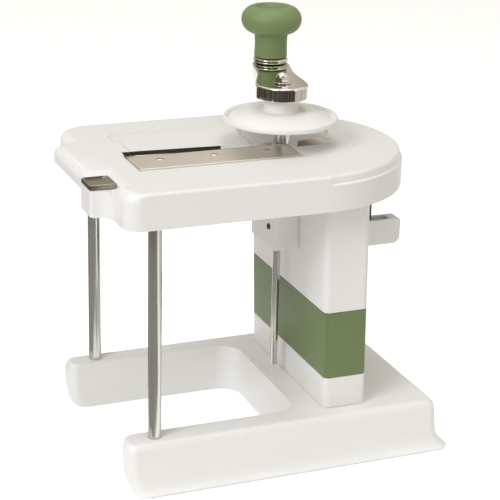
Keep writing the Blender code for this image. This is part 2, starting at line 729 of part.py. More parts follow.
def make_table(material):
    shoulder_z = TABLE_TOP_Z - SHOULDER_DROP
    narrow = SHOULDER_INSET + BEAD
    rings = [
        table_ring(TABLE_BOTTOM_Z),
        table_ring(TABLE_TOP_Z - END_ROUND_HEIGHT),
        table_ring(shoulder_z - 0.6 * MM, end_inset=end_round(SHOULDER_DROP + 0.6 * MM)),
        table_ring(shoulder_z, arc_inset=BEAD, end_inset=end_round(SHOULDER_DROP)),
        table_ring(shoulder_z + 0.4 * MM, arc_inset=SHOULDER_INSET,
                   end_inset=end_round(SHOULDER_DROP - 0.4 * MM)),
        table_ring(TABLE_TOP_Z - EDGE_RADIUS, arc_inset=narrow, end_inset=end_round(EDGE_RADIUS)),
        table_ring(TABLE_TOP_Z - EDGE_RADIUS * 0.3, EDGE_RADIUS * 0.3, narrow,
                   end_inset=end_round(EDGE_RADIUS * 0.3)),
        table_ring(TABLE_TOP_Z, EDGE_RADIUS, narrow, end_inset=end_round(0.0))]
    item = add_object("table", loft(rings), material)
    lip_depths = [TABLE_TOP_Z - LIP_BOTTOM_Z, END_ROUND_HEIGHT, END_ROUND_HEIGHT * 0.6,
                  END_ROUND_HEIGHT * 0.3, END_ROUND_HEIGHT * 0.1, 0.0]
    lip = [lip_ring(TABLE_TOP_Z - depth - 0.02 * MM, end_round(depth)) for depth in lip_depths]
    join(item, loft(lip), "lip")
    join(item, box(CRANK_X - BLOCK_LEFT, CRANK_X - TABLE_LEFT + 1 * MM, -BLOCK_FRONT, -BLOCK_BACK,
                   TABLE_BOTTOM_Z, LIP_BOTTOM_Z + 2 * MM), "lip_block")
    hollow = [table_ring(TABLE_BOTTOM_Z - 1 * MM, wall=TABLE_WALL),
              table_ring(UNDER_DECK_Z - END_ROUND_HEIGHT / 2, wall=TABLE_WALL),
              table_ring(UNDER_DECK_Z, wall=TABLE_WALL, end_inset=TABLE_WALL + END_ROUND)]
    cut(item, loft(hollow), "hollow")
    cut_lip_hollow(item)
    join(item, table_bosses(), "bosses")
    add_ribs(item)
    cut_table_top(item)
    cut(item, table_bores(), "bores")
    cut_slot_and_plate(item)
    return item


def cut_lip_hollow(item):
    """The lip and its block are hollow from below; the wall behind them stays, with a window for the bar."""
    left = CRANK_X - LIP_LEFT + TABLE_WALL + 2 * MM
    right = CRANK_X - TABLE_LEFT - GAP
    back = LIP_HALF - TABLE_WALL - 2 * MM
    cut(item, box(left, right, -BLOCK_BACK + TABLE_WALL, back, LIP_BOTTOM_Z - 1 * MM, UNDER_DECK_Z - 2 * MM),
        "lip_hollow")
    cut(item, box(left, right, -BLOCK_FRONT + TABLE_WALL, -BLOCK_BACK - TABLE_WALL + 1 * MM,
                  TABLE_BOTTOM_Z - 1 * MM, UNDER_DECK_Z - 2 * MM), "block_hollow")
    cut(item, box(right - OVERLAP, CRANK_X - TABLE_LEFT + TABLE_WALL + OVERLAP, -BAR_FRONT - 1 * MM,
                  -BAR_FRONT + ARM_WIDTH + 1 * MM, BAR_BOTTOM_Z - 4 * MM, PAD_BOTTOM_Z + OVERLAP), "bar_window")


def table_bosses():
    bosses = bmesh.new()
    for side in (-1, 1):
        add_cylinder(bosses, CRANK_X - POST_X, side * POST_Y, TABLE_BOTTOM_Z + 2 * MM,
                     UNDER_DECK_Z + OVERLAP, POST_RADIUS + RUN_GAP + SOCKET_WALL)
        add_cylinder(bosses, CRANK_X + BOLT_X, side * BOLT_Y, UNDER_DECK_Z - DECK_BOSS_HEIGHT,
                     UNDER_DECK_Z + OVERLAP, DECK_BOSS_RADIUS)
    add_cylinder(bosses, CRANK_X + STAY_X, bracket_middle_y(), UNDER_DECK_Z - RIB_DEPTH,
                 UNDER_DECK_Z + OVERLAP, STAY_SOCKET_RADIUS)
    for x in blade_screw_places():
        add_cylinder(bosses, x, -BLADE_SCREW_Y, UNDER_DECK_Z - BLADE_SCREW_LENGTH + 2 * MM,
                     UNDER_DECK_Z + OVERLAP, BLADE_BOSS_RADIUS)
    return bosses


def table_bores():
    bores = bmesh.new()
    for side in (-1, 1):
        add_cylinder(bores, CRANK_X - POST_X, side * POST_Y, TABLE_BOTTOM_Z, UNDER_DECK_Z,
                     POST_RADIUS + RUN_GAP, steps=ROUND)
        add_cylinder(bores, CRANK_X + BOLT_X, side * BOLT_Y, UNDER_DECK_Z - DECK_BOSS_HEIGHT - OVERLAP,
                     UNDER_DECK_Z - 1 * MM, BOLT_RADIUS + SCREW_GAP)
    add_cylinder(bores, CRANK_X + STAY_X, bracket_middle_y(), UNDER_DECK_Z - RIB_DEPTH - OVERLAP,
                 UNDER_DECK_Z, STAY_RADIUS + RUN_GAP)
    for x in blade_screw_places():
        add_cylinder(bores, x, -BLADE_SCREW_Y, UNDER_DECK_Z - BLADE_SCREW_LENGTH + 1 * MM,
                     TABLE_TOP_Z + OVERLAP, BLADE_SCREW_RADIUS + SCREW_GAP)
    add_cylinder(bores, CRANK_X, 0, UNDER_DECK_Z - OVERLAP, TABLE_TOP_Z - BUSH_FLANGE - 0.01 * MM,
                 BUSH_RADIUS + GAP)
    return bores


def add_ribs(item):
    """Stiffening ribs under the deck, clear of the slot and of the thickness slider."""
    top = UNDER_DECK_Z + OVERLAP
    bottom = UNDER_DECK_Z - RIB_DEPTH
    span_left = CRANK_X - POST_X - 8 * MM
    for number, y in enumerate((-POST_Y + 16 * MM, POST_Y - 6 * MM)):
        rib = box(span_left, CRANK_X + COLUMN_LEFT_TOP - 8 * MM, y, y + RIB, bottom, top)
        join(item, rib, "long_rib_%d" % number)
    for number, turn_deg in enumerate((-52, 0, 40)):
        turn = Matrix.Rotation(math.radians(turn_deg), 4, 'Z')
        start = (COLUMN_RIGHT_TOP + 4 * MM) / math.cos(math.radians(turn_deg))
        rib = box(start, TABLE_RADIUS - TABLE_WALL / 2, -RIB / 2, RIB / 2, bottom, top)
        bmesh.ops.transform(rib, matrix=Matrix.Translation((CRANK_X, 0, 0)) @ turn, verts=rib.verts)
        join(item, rib, "round_rib_%d" % number)
    for number, x in enumerate((PLATE_LEFT + EAR_LENGTH + PLATE_GAP + PIN_BOSS_LENGTH,
                                PLATE_RIGHT - EAR_LENGTH - PLATE_GAP)):
        right = CRANK_X - x + PIN_BOSS_LENGTH
        boss = box(CRANK_X - x, right, PIVOT_Y - 2 * PIN_RADIUS, PIVOT_Y + 2 * PIN_RADIUS,
                   PIVOT_Z - 2 * PIN_RADIUS, top)
        join(item, boss, "pin_boss_%d" % number)
    pin_bore = lying_cylinder(CRANK_X - PLATE_LEFT - EAR_LENGTH - PIN_BOSS_LENGTH, pin_right_x() + GAP,
                              PIVOT_Y, PIVOT_Z, PIN_RADIUS + RUN_GAP)
    cut(item, pin_bore, "pin_bore")


def pin_left_x():
    return CRANK_X - PLATE_LEFT - EAR_LENGTH - PIN_BOSS_LENGTH + GAP


def pin_right_x():
    return CRANK_X - PLATE_RIGHT + EAR_LENGTH + PLATE_GAP + PIN_BOSS_LENGTH - 1 * MM


def blade_screw_places():
    return [CRANK_X - BLADE_SCREW_FIRST - BLADE_SCREW_PITCH * number for number in range(BLADE_SCREW_COUNT)]


def cut_table_top(item):
    """Seat of the blade, bush flange, feed ramp and the notch, pad and slot of the slider."""
    seat = box(CRANK_X - SEAT_LEFT, CRANK_X + SEAT_RIGHT, -SEAT_FRONT, BLADE_EDGE + GAP,
               TABLE_TOP_Z - SEAT_DEPTH, TABLE_TOP_Z + 1 * MM)
    cut(item, seat, "blade_seat")
    flange = cylinder(CRANK_X, 0, TABLE_TOP_Z - BUSH_FLANGE - GAP, TABLE_TOP_Z + 1 * MM,
                      BUSH_FLANGE_RADIUS + GAP, steps=ROUND)
    cut(item, flange, "bush_flange")
    slope = [(CRANK_X + RAMP_POCKET_LEFT, TABLE_TOP_Z - RAMP_POCKET_DEPTH),
             (CRANK_X + RAMP_POCKET_RIGHT, TABLE_TOP_Z),
             (CRANK_X + RAMP_POCKET_RIGHT, TABLE_TOP_Z + 1 * MM),
             (CRANK_X + RAMP_POCKET_LEFT, TABLE_TOP_Z + 1 * MM)]
    pocket = loft([[(x, RAMP_POCKET_BACK, z) for x, z in slope],
                   [(x, -RAMP_POCKET_FRONT, z) for x, z in slope]])
    cut(item, pocket, "feed_ramp")
    pad = box(CRANK_X - BLOCK_LEFT + 1 * MM, TAB_X + TAB_WIDTH + 3 * MM, -BLOCK_FRONT + 1 * MM,
              -TAB_BACK + 3 * MM, PAD_BOTTOM_Z, UNDER_DECK_Z + OVERLAP)
    join(item, pad, "tab_pad")
    notch = box(TAB_X - 2 * MM, TAB_X + TAB_WIDTH + GAP, -LIP_HALF - 2 * MM, -TAB_BACK + GAP,
                TAB_SEAT_Z - GAP, TABLE_TOP_Z + 1 * MM)
    cut(item, notch, "tab_notch")
    reach = STEM_RADIUS + GAP
    slot = box(STEM_X - SLIDE_TRAVEL - reach, STEM_X + reach, -STEM_Y - reach, -STEM_Y + reach,
               PAD_BOTTOM_Z - OVERLAP, TABLE_TOP_Z)
    cut(item, slot, "stem_slot")
    wall = CRANK_X - TABLE_LEFT + TABLE_WALL - 1 * MM
    right = BAR_X + BAR_WIDTH_X + GAP
    bottom = BAR_BOTTOM_Z - GAP - HANGER_WALL
    for number, y in enumerate((HANGER_FIRST_Y, HANGER_SECOND_Y)):
        join(item, box(wall, right + HANGER_WALL, y, y + HANGER_WIDTH, bottom, BAR_BOTTOM_Z - GAP),
             "hanger_floor_%d" % number)
        join(item, box(right, right + HANGER_WALL, y, y + HANGER_WIDTH, bottom + 0.1 * MM,
                       UNDER_DECK_Z + OVERLAP), "hanger_leg_%d" % number)


def slot_back_y(x_left):
    """The back edge of the slot: it opens towards the rim, where more cabbage passes."""
    share = (x_left - SLOT_RIGHT) / (SLOT_LEFT - SLOT_RIGHT)
    return SLOT_NARROW_Y + (SLOT_WIDE_Y - SLOT_NARROW_Y) * share


def plate_outline(clearance):
    """Plan of the thickness plate, or of its opening, with ears at the hinge line."""
    left = CRANK_X - PLATE_LEFT + clearance
    right = CRANK_X - PLATE_RIGHT - clearance
    back = PLATE_BACK - clearance
    ear_front = EAR_FRONT + clearance
    ear_back = EAR_BACK - clearance
    return [
        (left, slot_back_y(PLATE_LEFT) + clearance * 0), (right, slot_back_y(PLATE_RIGHT)),
        (right, ear_front), (right + EAR_LENGTH, ear_front), (right + EAR_LENGTH, ear_back),
        (right, ear_back), (right, back), (left, back), (left, ear_back),
        (left - EAR_LENGTH, ear_back), (left - EAR_LENGTH, ear_front), (left, ear_front)]


def cut_slot_and_plate(item):
    outline = plate_outline(0.0)
    slot = [(CRANK_X - SLOT_LEFT, SEAT_BACK), (CRANK_X - SLOT_RIGHT, SEAT_BACK),
            (CRANK_X - SLOT_RIGHT, SLOT_NARROW_Y)] + outline[1:] + [outline[0],
            (CRANK_X - SLOT_LEFT, SLOT_WIDE_Y)]
    cut(item, prism(slot, UNDER_DECK_Z - OVERLAP, TABLE_TOP_Z + 1 * MM), "slot")


# Blade

def make_blade(material):
    bottom = TABLE_TOP_Z - SEAT_DEPTH + GAP
    profile = [(-BLADE_FRONT, bottom), (BLADE_EDGE, bottom), (BLADE_EDGE, bottom + 0.3 * MM),
               (BLADE_EDGE - BLADE_BEVEL, BLADE_TOP_Z), (-BLADE_FRONT, BLADE_TOP_Z)]
    item = add_object("blade", side_prism(profile, CRANK_X - BLADE_LEFT, CRANK_X + BLADE_RIGHT), material)
    holes = bmesh.new()
    for x in blade_screw_places():
        add_cylinder(holes, x, -BLADE_SCREW_Y, bottom - OVERLAP, BLADE_TOP_Z + OVERLAP,
                     BLADE_SCREW_HEAD + GAP)
    cut(item, holes, "screw_holes")
    notch = cylinder(CRANK_X, 0, bottom - OVERLAP, BLADE_TOP_Z + OVERLAP, BUSH_FLANGE_RADIUS + 2 * GAP,
                     steps=ROUND)
    cut(item, notch, "bush_notch")
    return item


def make_blade_screws(material):
    seat = TABLE_TOP_Z - SEAT_DEPTH + GAP
    tip = UNDER_DECK_Z - BLADE_SCREW_LENGTH + 3 * MM
    profile = [(0, BLADE_TOP_Z + 0.3 * MM), (BLADE_SCREW_HEAD * 0.7, BLADE_TOP_Z + 0.3 * MM),
               (BLADE_SCREW_HEAD, BLADE_TOP_Z - 0.2 * MM), (BLADE_SCREW_HEAD, seat),
               (BLADE_SCREW_RADIUS, seat), (BLADE_SCREW_RADIUS, tip), (0, tip)]
    for number, x in enumerate(blade_screw_places()):
        turned("blade_screw_%d" % (number + 1), profile, material, x, -BLADE_SCREW_Y, SMALL_ROUND)


# Thickness plate and slider

def make_thickness_plate(material):
    outline = plate_outline(PLATE_GAP)
    origin = (CRANK_X - (PLATE_LEFT + PLATE_RIGHT) / 2, PIVOT_Y, PIVOT_Z)
    item = add_object("thickness_plate", prism(outline, PLATE_UNDER_Z, TABLE_TOP_Z), material, origin)
    left = CRANK_X - PLATE_LEFT + PLATE_GAP - EAR_LENGTH + 0.1 * MM
    right = CRANK_X - PLATE_RIGHT - PLATE_GAP + EAR_LENGTH - 0.1 * MM
    for number, x in enumerate((left, right - KNUCKLE_LENGTH)):
        helper = lying_cylinder(x, x + KNUCKLE_LENGTH, PIVOT_Y, PIVOT_Z, KNUCKLE_RADIUS)
        join(item, helper, "knuckle_%d" % number)
    lug = box(LUG_X, CRANK_X - PLATE_LEFT + 6 * MM, LUG_FRONT, LUG_BACK, LUG_BOTTOM_Z, LUG_TOP_Z)
    join(item, lug, "lug")
    lug_root = box(CRANK_X - PLATE_LEFT + PLATE_GAP + 0.1 * MM, CRANK_X - PLATE_LEFT + 6 * MM,
                   LUG_FRONT + 0.1 * MM, LUG_BACK - 0.1 * MM, LUG_TOP_Z - OVERLAP, PLATE_UNDER_Z + OVERLAP)
    join(item, lug_root, "lug_root")
    foot = box(LUG_X, LUG_X + LUG_WIDTH, LUG_FRONT + 0.1 * MM, LUG_BACK - 0.1 * MM, lug_foot_z(),
               LUG_BOTTOM_Z + OVERLAP)
    join(item, foot, "lug_foot")
    span = PLATE_LEFT - PLATE_RIGHT
    for number in range(PLATE_RIB_COUNT):
        x = CRANK_X - PLATE_LEFT + span * (number + 1) / (PLATE_RIB_COUNT + 1)
        rib = box(x, x + RIB, PLATE_RIB_FRONT, PLATE_RIB_BACK, PLATE_UNDER_Z - PLATE_RIB_DEPTH,
                  PLATE_UNDER_Z + OVERLAP)
        join(item, rib, "rib_%d" % number)
    bore = lying_cylinder(left - 1 * MM, right + 1 * MM, PIVOT_Y, PIVOT_Z, PIN_RADIUS + RUN_GAP)
    cut(item, bore, "pin_bore")
    return item


def lug_foot_z():
    """Underside of the lug's foot, which stands on the ramp at rest."""
    return BAR_TOP_Z + GAP


def make_plate_hinge_pin(material):
    shape = lying_cylinder(pin_left_x(), pin_right_x(), PIVOT_Y, PIVOT_Z, PIN_RADIUS)
    return add_object("plate_hinge_pin", shape, material)


def make_thickness_tab(material):
    """A shallow pressed cup: a finger hooks into it and pulls it out to the left."""
    shape = box(TAB_X, TAB_X + TAB_WIDTH, -TAB_FRONT, -TAB_BACK, TAB_SEAT_Z, TAB_SEAT_Z + TAB_HEIGHT)
    item = add_object("thickness_tab", shape, material, (STEM_X, -STEM_Y, TAB_SEAT_Z))
    bevel = item.modifiers.new("edges", 'BEVEL')
    bevel.width = TAB_ROUND / 2
    bevel.segments = 2
    bevel.limit_method = 'ANGLE'
    inner = rounded_outline([
        (TAB_X + TAB_WALL, -TAB_FRONT + TAB_WALL, TAB_ROUND), (TAB_X + TAB_WIDTH - TAB_WALL, -TAB_FRONT + TAB_WALL,
        TAB_ROUND), (TAB_X + TAB_WIDTH - TAB_WALL, -TAB_BACK - TAB_WALL, TAB_ROUND),
        (TAB_X + TAB_WALL, -TAB_BACK - TAB_WALL, TAB_ROUND)], 3)
    cut(item, prism(inner, TAB_SEAT_Z + TAB_BOTTOM, TAB_SEAT_Z + TAB_HEIGHT + 1 * MM), "recess")
    thread = cylinder(STEM_X, -STEM_Y, TAB_SEAT_Z - OVERLAP, TAB_SEAT_Z + TAB_BOTTOM + OVERLAP,
                      STEM_RADIUS + SCREW_GAP)
    cut(item, thread, "thread")
    return item


def make_slide_bar(material):
    """Bar that carries the tab; its far end is the ramp on which the plate's lug stands."""
    right = BAR_X + BAR_WIDTH_X
    arm_left = STEM_X - ARM_REACH
    ramp_right = LUG_X + LUG_WIDTH + SLIDE_TRAVEL + 1 * MM
    outline = [(arm_left, -BAR_FRONT), (right, -BAR_FRONT), (right, RAMP_FRONT), (ramp_right, RAMP_FRONT),
               (ramp_right, BAR_BACK), (BAR_X, BAR_BACK), (BAR_X, -BAR_FRONT + ARM_WIDTH),
               (arm_left, -BAR_FRONT + ARM_WIDTH)]
    item = add_object("slide_bar", prism(outline, BAR_BOTTOM_Z, BAR_TOP_Z), material,
                      (STEM_X, -STEM_Y, BAR_TOP_Z))
    start = LUG_X - 0.5 * MM
    end = LUG_X + SLIDE_TRAVEL + 0.8 * MM
    low = BAR_TOP_Z - ramp_slope() * (end - start)
    profile = [(start, BAR_TOP_Z), (end, low), (ramp_right + 1 * MM, low),
               (ramp_right + 1 * MM, BAR_TOP_Z + 1 * MM), (start, BAR_TOP_Z + 1 * MM)]
    wedge = loft([[(x, BAR_BACK + 1 * MM, z) for x, z in profile],
                  [(x, RAMP_FRONT - 1 * MM, z) for x, z in profile]])
    cut(item, wedge, "ramp")
    cut(item, cylinder(STEM_X, -STEM_Y, BAR_BOTTOM_Z - OVERLAP, BAR_TOP_Z + OVERLAP,
                       STEM_RADIUS + SCREW_GAP), "stem_hole")
    return item


def ramp_slope():
    """Fall of the ramp for each metre of travel: a little more than the lug's, so they never bind."""
    return 1.06 * (PIVOT_Y - LUG_FRONT) * math.sin(math.radians(PLATE_TILT_DEG)) / SLIDE_TRAVEL


def make_tab_screw(material):
    seat = BAR_BOTTOM_Z - GAP
    profile = headed_rod(seat - 2 * MM, seat, STEM_HEAD, TAB_SEAT_Z + TAB_BOTTOM - 0.2 * MM, STEM_RADIUS)
    return turned("tab_screw", profile, material, STEM_X, -STEM_Y, SMALL_ROUND)


# Spindle housing, bushes and rod

def make_spindle_housing(material):
    left = CRANK_X - HOUSING_LEFT
    top = UNDER_DECK_Z - GAP
    rings = []
    for z in (HOUSING_BOTTOM_Z, top):
        right = column_left_at(z) - GAP
        rings.append([(left, -HOUSING_HALF_DEPTH, z), (right, -HOUSING_HALF_DEPTH, z),
                      (right, HOUSING_HALF_DEPTH, z), (left, HOUSING_HALF_DEPTH, z)])
    item = add_object("spindle_housing", loft(rings), material)
    bevel = item.modifiers.new("edges", 'BEVEL')
    bevel.width = 1.2 * MM
    bevel.segments = 2
    bevel.limit_method = 'ANGLE'
    inner = box(left + HOUSING_WALL, CRANK_X + COLUMN_LEFT_FOOT, -HOUSING_HALF_DEPTH + HOUSING_WALL,
                HOUSING_HALF_DEPTH - HOUSING_WALL, HOUSING_BOTTOM_Z + HOUSING_FLOOR, top + 1 * MM)
    cut(item, inner, "hollow")
    cut(item, cylinder(CRANK_X, 0, HOUSING_BOTTOM_Z - OVERLAP, HOUSING_BOTTOM_Z + HOUSING_FLOOR + OVERLAP,
                       BUSH_RADIUS + GAP), "bush_hole")
    return item


def bush_profile(flange_top, flange_radius, tip):
    """(radius, z) of a bush whose body hangs under its flange."""
    bore = ROD_RADIUS + RUN_GAP
    flange_bottom = flange_top - BUSH_FLANGE
    return [(bore, flange_top), (flange_radius, flange_top), (flange_radius, flange_bottom),
            (BUSH_RADIUS, flange_bottom), (BUSH_RADIUS, tip), (bore, tip)]


def make_upper_bush(material):
    profile = bush_profile(BUSH_TOP_Z, BUSH_FLANGE_RADIUS, BUSH_TOP_Z - UPPER_BUSH_LENGTH)
    return turned("upper_bush", profile, material, CRANK_X, 0, SMALL_ROUND)


def make_lower_bush(material):
    top = HOUSING_BOTTOM_Z + HOUSING_FLOOR + GAP + BUSH_FLANGE
    profile = bush_profile(top, LOWER_FLANGE_RADIUS, HOUSING_BOTTOM_Z)
    return turned("lower_bush", profile, material, CRANK_X, 0, SMALL_ROUND)


def make_spindle_rod(material):
    top = NUT_BOTTOM_Z + NUT_HEX_HEIGHT
    profile = [(0, top), (ROD_RADIUS - 0.6 * MM, top), (ROD_RADIUS, top - 0.6 * MM),
               (ROD_RADIUS, ROD_BOTTOM_Z + 1.5 * MM), (ROD_RADIUS - 1.2 * MM, ROD_BOTTOM_Z),
               (0, ROD_BOTTOM_Z)]
    return turned("spindle_rod", profile, material, CRANK_X, 0, SMALL_ROUND)


def make_stop_sleeve(material):
    top = DISC_SEAT_Z - GAP
    bore = ROD_RADIUS + RUN_GAP
    profile = [(bore, top), (SLEEVE_RADIUS, top), (SLEEVE_RADIUS, SLEEVE_BOTTOM_Z + 0.5 * MM),
               (SLEEVE_RADIUS - 0.5 * MM, SLEEVE_BOTTOM_Z), (bore, SLEEVE_BOTTOM_Z)]
    return turned("stop_sleeve", profile, material, CRANK_X, 0, SMALL_ROUND)


# Spiked disc

def dome_z(radius):
    """Upper surface of the disc between hub and rim."""
    share = (radius - HUB_RADIUS) / (DISC_RADIUS - 4 * MM - HUB_RADIUS)
    return RIM_Z - 0.6 * MM + DOME_RISE * (1 - share * share)


def make_spiked_disc(material):
    bore = ROD_RADIUS + RUN_GAP
    hub_top = ARM_BOTTOM_Z - GAP
    counter = SLEEVE_RADIUS + RUN_GAP
    radii = [HUB_RADIUS + 1.2 * MM, HUB_RADIUS + 7 * MM, HUB_RADIUS + 15 * MM, HUB_RADIUS + 22 * MM,
             DISC_RADIUS - 4 * MM]
    upper = [(radius, dome_z(radius)) for radius in radii]
    lower = [(radius, dome_z(radius) - DISC_WALL) for radius in reversed(radii)]
    profile = [(bore, hub_top), (HUB_RADIUS - 0.8 * MM, hub_top), (HUB_RADIUS, hub_top - 0.8 * MM),
               (HUB_RADIUS, dome_z(HUB_RADIUS) + 1 * MM)]
    profile += upper
    profile += [(DISC_RADIUS - 3.2 * MM, RIM_Z + RIM_LIP * 0.5), (DISC_RADIUS - 2 * MM, RIM_Z + RIM_LIP),
                (DISC_RADIUS - 0.7 * MM, RIM_Z + RIM_LIP * 0.9), (DISC_RADIUS, RIM_Z + RIM_LIP * 0.3),
                (DISC_RADIUS, RIM_Z - 1.6 * MM), (DISC_RADIUS - 1 * MM, RIM_Z - 2.6 * MM)]
    profile += lower
    profile += [(HUB_RADIUS - 4 * MM, dome_z(HUB_RADIUS) - DISC_WALL - 0.4 * MM),
                (counter + 2 * MM, DISC_SEAT_Z - 3 * MM), (counter, DISC_SEAT_Z - 3 * MM),
                (counter, DISC_SEAT_Z), (bore, DISC_SEAT_Z)]
    item = turned("spiked_disc", profile, material, CRANK_X, 0, DISC_STEPS)
    for number in range(TINE_COUNT):
        turn = math.radians(TINE_ANGLE_DEG) + 2 * math.pi * number / TINE_COUNT
        join(item, tine_shape(turn), "tine_%d" % number)
    return item


def tine_shape(turn):
    """A flat tine set along the radius: a wedge that comes to a sharp edge below."""
    root_z = dome_z(TINE_PITCH_RADIUS) - DISC_WALL + 1 * MM
    half = TINE_WIDTH / 2
    thick = TINE_THICKNESS / 2
    rings = []
    for z, width, depth in ((TINE_TIP_Z, half * 0.55, 0.3 * MM), (root_z - 2.5 * MM, half * 0.95, thick),
                            (root_z, half, thick)):
        rings.append([(TINE_PITCH_RADIUS - width, -depth, z), (TINE_PITCH_RADIUS + width, -depth, z),
                      (TINE_PITCH_RADIUS + width, depth, z), (TINE_PITCH_RADIUS - width, depth, z)])
    shape = loft(rings)
    place = Matrix.Translation((CRANK_X, 0, 0)) @ Matrix.Rotation(turn, 4, 'Z')
    bmesh.ops.transform(shape, matrix=place, verts=shape.verts)
    return shape


# Crank arm and knob

def arm_outline(inset):
    """Teardrop plan: a big round at the spindle, a small one at the knob, drawn in between."""
    big = ARM_BIG_RADIUS - inset
    small = ARM_SMALL_RADIUS - inset
    lean = math.asin((big - small) / CRANK_RADIUS)
    points = []
    for step in range(15):
        turn = math.pi / 2 - lean + (math.pi + 2 * lean) * step / 14
        points.append(Vector((big * math.cos(turn), big * math.sin(turn))))
    end_lower = Vector((CRANK_RADIUS + small * math.cos(-math.pi / 2 + lean),
                        small * math.sin(-math.pi / 2 + lean)))
    points += waist(points[-1], end_lower)
    for step in range(11):
        turn = -math.pi / 2 + lean + (math.pi - 2 * lean) * step / 10
        points.append(Vector((CRANK_RADIUS + small * math.cos(turn), small * math.sin(turn))))
    points += waist(points[-1], points[0])
    return points


def waist(start, end):
    """Points between two tangent points, pulled in towards the arm's middle line."""
    points = []
    for step in range(1, 6):
        share = step / 6
        spot = start.lerp(end, share)
        pull = ARM_WAIST * math.sin(math.pi * share) ** 2
        spot.y -= math.copysign(pull, spot.y)
        points.append(spot)
    return points


def make_crank_arm(material):
    turn = Matrix.Rotation(math.radians(CRANK_ANGLE_DEG), 4, 'Z')
    place = Matrix.Translation((CRANK_X, 0, 0)) @ turn
    levels = [(ARM_BOTTOM_Z, ARM_EDGE), (ARM_BOTTOM_Z + ARM_EDGE, 0.0), (ARM_TOP_Z - ARM_EDGE, 0.0),
              (ARM_TOP_Z - ARM_EDGE * 0.3, ARM_EDGE * 0.3), (ARM_TOP_Z, ARM_EDGE)]
    rings = []
    for z, inset in levels:
        rings.append([tuple(place @ Vector((spot.x, spot.y, z))) for spot in arm_outline(inset)])
    shape = loft(rings)
    bmesh.ops.recalc_face_normals(shape, faces=shape.faces)
    item = add_object("crank_arm", shape, material, (CRANK_X, 0, ARM_BOTTOM_Z))
    holes = bmesh.new()
    add_cylinder(holes, CRANK_X, 0, ARM_BOTTOM_Z - OVERLAP, ARM_TOP_Z + OVERLAP, ROD_RADIUS + RUN_GAP)
    add_cylinder(holes, KNOB_X, KNOB_Y, ARM_BOTTOM_Z - OVERLAP, ARM_TOP_Z + OVERLAP,
                 KNOB_PIN_RADIUS + RUN_GAP)
    cut(item, holes, "holes")
    return item


def make_washer(material):
    bottom = ARM_TOP_Z + GAP
    bore = ROD_RADIUS + RUN_GAP
    profile = [(bore, WASHER_TOP_Z), (WASHER_RADIUS - 0.3 * MM, WASHER_TOP_Z),
               (WASHER_RADIUS, WASHER_TOP_Z - 0.3 * MM), (WASHER_RADIUS, bottom), (bore, bottom)]
    return turned("washer", profile, material, CRANK_X, 0, ROUND)


def make_cap_nut(material):
    """Hexagon below and dome above, with a blind bore for the rod."""
    hex_top = NUT_BOTTOM_Z + NUT_HEX_HEIGHT
    shape = cylinder(CRANK_X, 0, NUT_BOTTOM_Z, hex_top, NUT_FLATS / math.sqrt(3), steps=6)
    item = add_object("cap_nut", shape, material, (CRANK_X, 0, NUT_BOTTOM_Z))
    dome = bmesh.new()
    bmesh.ops.create_uvsphere(dome, u_segments=SMALL_ROUND, v_segments=10, radius=NUT_DOME_RADIUS,
                              matrix=Matrix.Translation((CRANK_X, 0, hex_top)))
    join(item, dome, "dome")
    bore = cylinder(CRANK_X, 0, NUT_BOTTOM_Z - 2 * NUT_DOME_RADIUS, hex_top + 1 * MM,
                    ROD_RADIUS + RUN_GAP)
    cut(item, bore, "bore")
    skirt = cylinder(CRANK_X, 0, NUT_BOTTOM_Z - 2 * NUT_DOME_RADIUS, NUT_BOTTOM_Z, 2 * NUT_FLATS)
    cut(item, skirt, "underside")
    return item


def make_knob_collar(material):
    top = COLLAR_BOTTOM_Z + COLLAR_HEIGHT
    profile = [(COLLAR_BORE, top), (COLLAR_RADIUS - 1 * MM, top), (COLLAR_RADIUS, top - 1 * MM),
               (COLLAR_RADIUS, COLLAR_BOTTOM_Z + 1 * MM), (COLLAR_RADIUS - 0.6 * MM, COLLAR_BOTTOM_Z),
               (COLLAR_BORE, COLLAR_BOTTOM_Z)]
    return turned("knob_collar", profile, material, KNOB_X, KNOB_Y, ROUND)


def make_knob_pin(material):
    """Shouldered pin riveted under the arm; its head holds the grip down."""
    head_top = pin_head_z() + PIN_HEAD_HEIGHT
    shoulder = COLLAR_BORE - RUN_GAP
    profile = [(0, head_top), (PIN_HEAD_RADIUS, head_top), (PIN_HEAD_RADIUS, pin_head_z()),
               (KNOB_PIN_RADIUS, pin_head_z()), (KNOB_PIN_RADIUS, GRIP_BOTTOM_Z),
               (shoulder, GRIP_BOTTOM_Z - GAP), (shoulder, COLLAR_BOTTOM_Z), (KNOB_PIN_RADIUS, COLLAR_BOTTOM_Z),
               (KNOB_PIN_RADIUS, ARM_BOTTOM_Z), (0, ARM_BOTTOM_Z)]
    return turned("knob_pin", profile, material, KNOB_X, KNOB_Y, SMALL_ROUND)


def pin_head_z():
    return GRIP_TOP_Z - DIMPLE_DEPTH - PLUG_THICKNESS - PIN_HEAD_HEIGHT - 2 * MM


